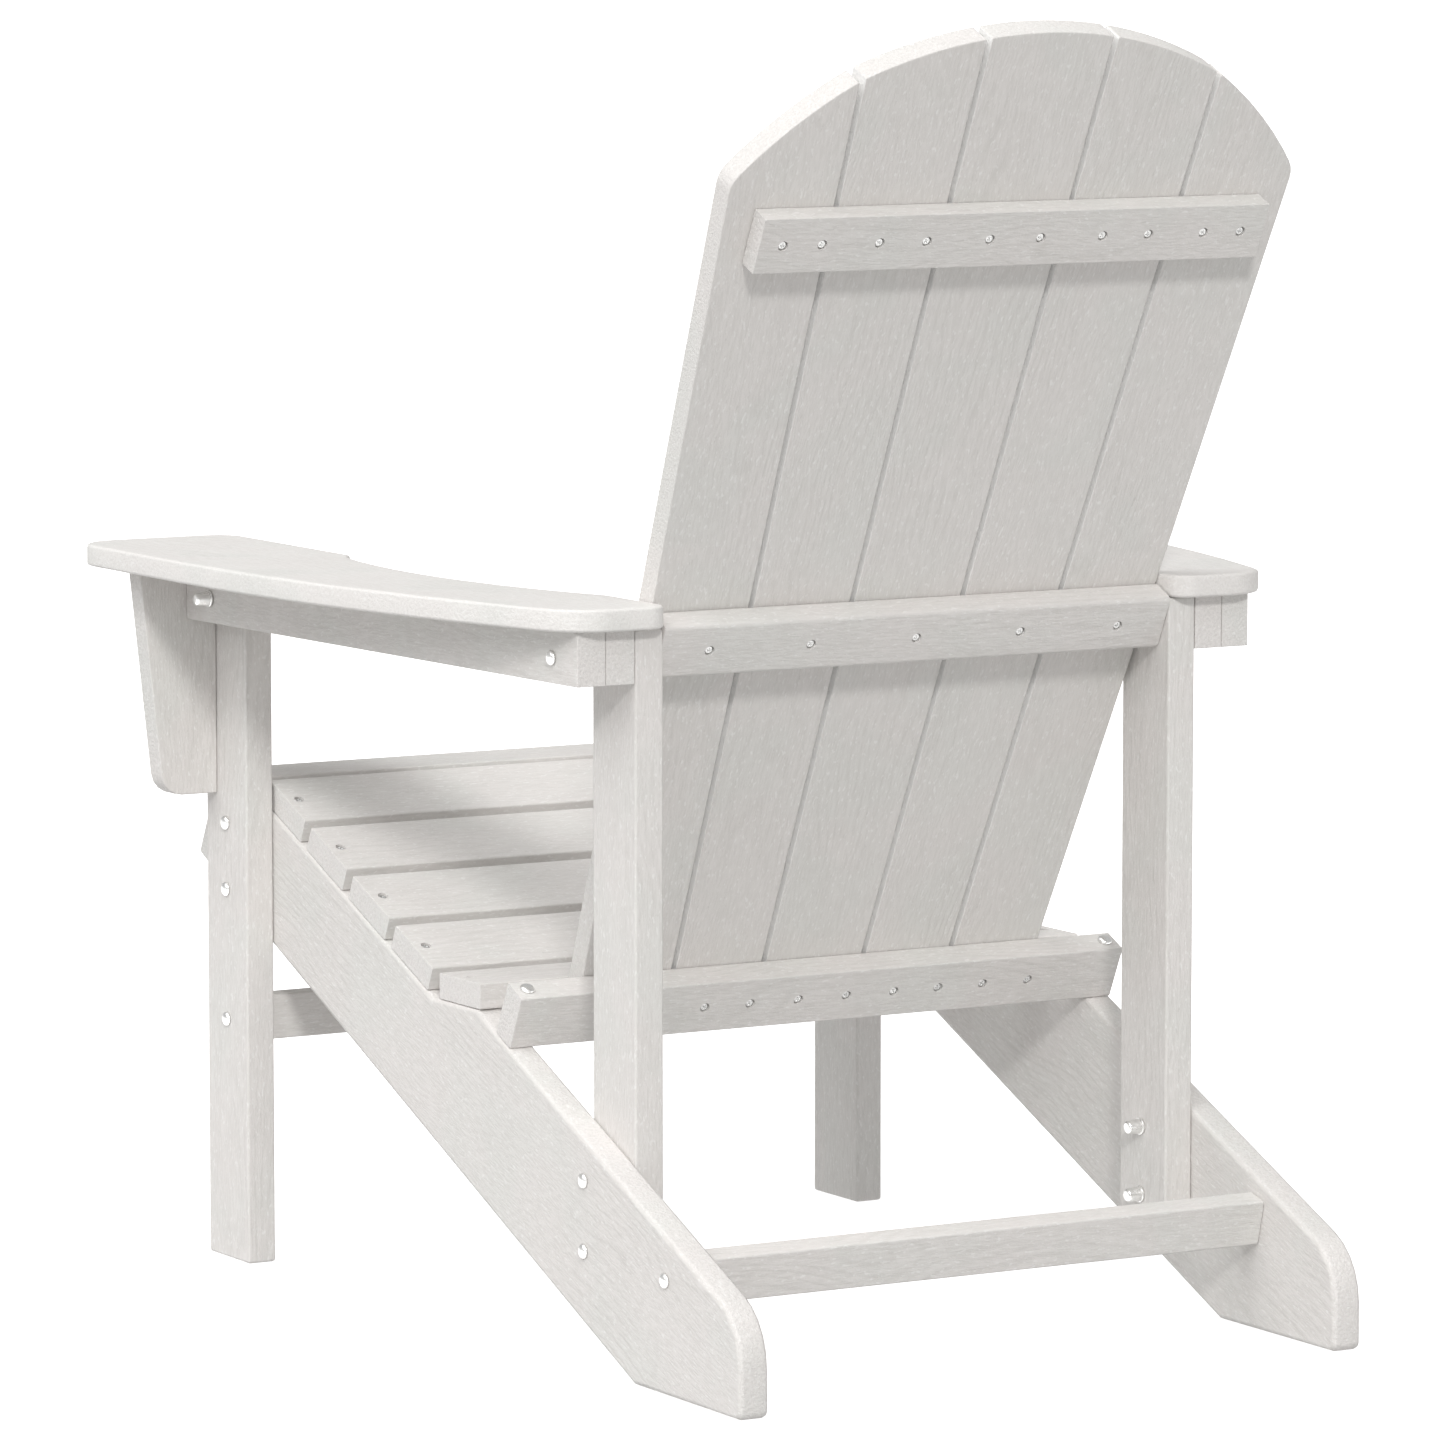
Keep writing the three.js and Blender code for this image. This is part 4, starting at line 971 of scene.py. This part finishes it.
def lean_direction():
    """Up the lean of the back, along the edges of its middle slat."""
    shape = cad_mesh("back_slat_3")
    shape.normal_update()
    normal = face_direction(shape)
    shape.free()
    return LEFT.cross(normal).normalized() * (1 if LEFT.cross(normal).z > 0 else -1)


# ---- Studio --------------------------------------------------------------------------------------

FLOOR_REACH = 90.0
FLOOR_LEVEL = -0.0004
FLOOR_COLOURS = ((0.86, 0.86, 0.86, 1), (0.89, 0.89, 0.885, 1))
WHITE = (1.0, 1.0, 1.0)
KEY_COLOUR = (1.0, 0.99, 0.975)
FILL_COLOUR = (1.0, 0.995, 0.985)
KEY_TOWARDS = Vector((0.353, 0.778, 0.519))
TOP_TOWARDS = Vector((0.62, 0.1, 0.77))
LAMP_DISTANCE = 6


def add_floor(studio):
    """A wide pale floor, lifted towards white by a little glow of its own."""
    shape = bmesh.new()
    signs = ((-1, -1), (1, -1), (1, 1), (-1, 1))
    corners = [(x * FLOOR_REACH, y * FLOOR_REACH, FLOOR_LEVEL) for x, y in signs]
    shape.faces.new([shape.verts.new(corner) for corner in corners])
    mesh = bpy.data.meshes.new("floor")
    shape.to_mesh(mesh)
    shape.free()
    graph = Graph("pale_floor")
    where = graph.node("ShaderNodeTexCoord").outputs["Object"]
    tone = graph.noise(where, 2.0, 0.5, 0.0, FLOOR_PATCH_SCALE)
    colour = graph.blend(tone, *FLOOR_COLOURS)
    graph.finish(
        Base_Color=colour, Roughness=0.9, Emission_Color=opaque(WHITE),
        Emission_Strength=studio.floor_glow,
    )
    graph.shader.inputs["Specular IOR Level"].default_value = 0.0
    mesh.materials.append(graph.material)
    floor = link("floor", mesh)
    floor.visible_diffuse = False


def add_sun(scene, name, towards, strength, angle, colour):
    """A distant lamp in the given direction."""
    light = bpy.data.lights.new(name, "SUN")
    light.energy, light.angle, light.color = strength, angle, colour
    lamp = bpy.data.objects.new(name, light)
    lamp.rotation_euler = towards.to_track_quat("Z", "Y").to_euler()
    lamp.location = towards.normalized() * LAMP_DISTANCE
    scene.collection.objects.link(lamp)


def add_light(scene, studio):
    """A key from behind the chair, a wide light from above its left, and an even fill."""
    add_sun(scene, "key", KEY_TOWARDS, studio.key, studio.key_angle, KEY_COLOUR)
    add_sun(scene, "top", TOP_TOWARDS, studio.top, studio.top_angle, WHITE)

    world = bpy.data.worlds.new("fill")
    scene.world = world
    world.use_nodes = True
    background = world.node_tree.nodes["Background"]
    background.inputs["Color"].default_value = opaque(FILL_COLOUR)
    background.inputs["Strength"].default_value = studio.fill
    scene.view_settings.view_transform = "Standard"
    scene.view_settings.look = "None"


def add_camera(scene, studio):
    """A long lens on the sitter's left, behind the chair."""
    data = bpy.data.cameras.new("camera")
    data.sensor_width = 36
    data.lens = studio.lens
    data.clip_start, data.clip_end = 0.1, 300
    camera = bpy.data.objects.new("camera", data)
    azimuth, elevation = studio.azimuth, studio.elevation
    back = Vector((
        math.sin(azimuth) * math.cos(elevation),
        -math.cos(azimuth) * math.cos(elevation),
        math.sin(elevation),
    ))
    camera.location = Vector(studio.target) + back * studio.distance
    camera.rotation_mode = "QUATERNION"
    camera.rotation_quaternion = (-back).to_track_quat("-Z", "Y")
    scene.collection.objects.link(camera)
    scene.camera = camera


# ---- Panel and registration ----------------------------------------------------------------------

OPERATORS = (
    CHAIR_OT_seat_slats,
    CHAIR_OT_back_slats,
    CHAIR_OT_cross_boards,
    CHAIR_OT_side_frames,
    CHAIR_OT_arms,
    CHAIR_OT_bolts,
    CHAIR_OT_screws,
    CHAIR_OT_studio,
)


class CHAIR_PT_panel(bpy.types.Panel):
    """Buttons and settings for the chair"""

    bl_idname = "CHAIR_PT_panel"
    bl_label = "Adirondack Chair"
    bl_space_type = "VIEW_3D"
    bl_region_type = "UI"
    bl_category = "Chair"

    def draw(self, context):
        for operator in OPERATORS:
            self.layout.operator(operator.bl_idname)
        scene = context.scene
        for title, group in (
            ("Lumber", scene.chair_lumber),
            ("Hardware", scene.chair_hardware),
            ("Studio", scene.chair_studio),
        ):
            box = self.layout.box()
            box.label(text=title)
            for name in group.__annotations__:
                box.prop(group, name)


CLASSES = (LumberSettings, HardwareSettings, StudioSettings, *OPERATORS, CHAIR_PT_panel)


def register():
    for entry in CLASSES:
        bpy.utils.register_class(entry)
    bpy.types.Scene.chair_lumber = PointerProperty(type=LumberSettings)
    bpy.types.Scene.chair_hardware = PointerProperty(type=HardwareSettings)
    bpy.types.Scene.chair_studio = PointerProperty(type=StudioSettings)


def unregister():
    del bpy.types.Scene.chair_studio
    del bpy.types.Scene.chair_hardware
    del bpy.types.Scene.chair_lumber
    for entry in reversed(CLASSES):
        bpy.utils.unregister_class(entry)


def main():
    register()
    bpy.ops.chair.studio()
    bpy.ops.chair.seat_slats()
    bpy.ops.chair.back_slats()
    bpy.ops.chair.cross_boards()
    bpy.ops.chair.side_frames()
    bpy.ops.chair.arms()
    bpy.ops.chair.bolts()
    bpy.ops.chair.screws()


if __name__ == "__main__":
    main()
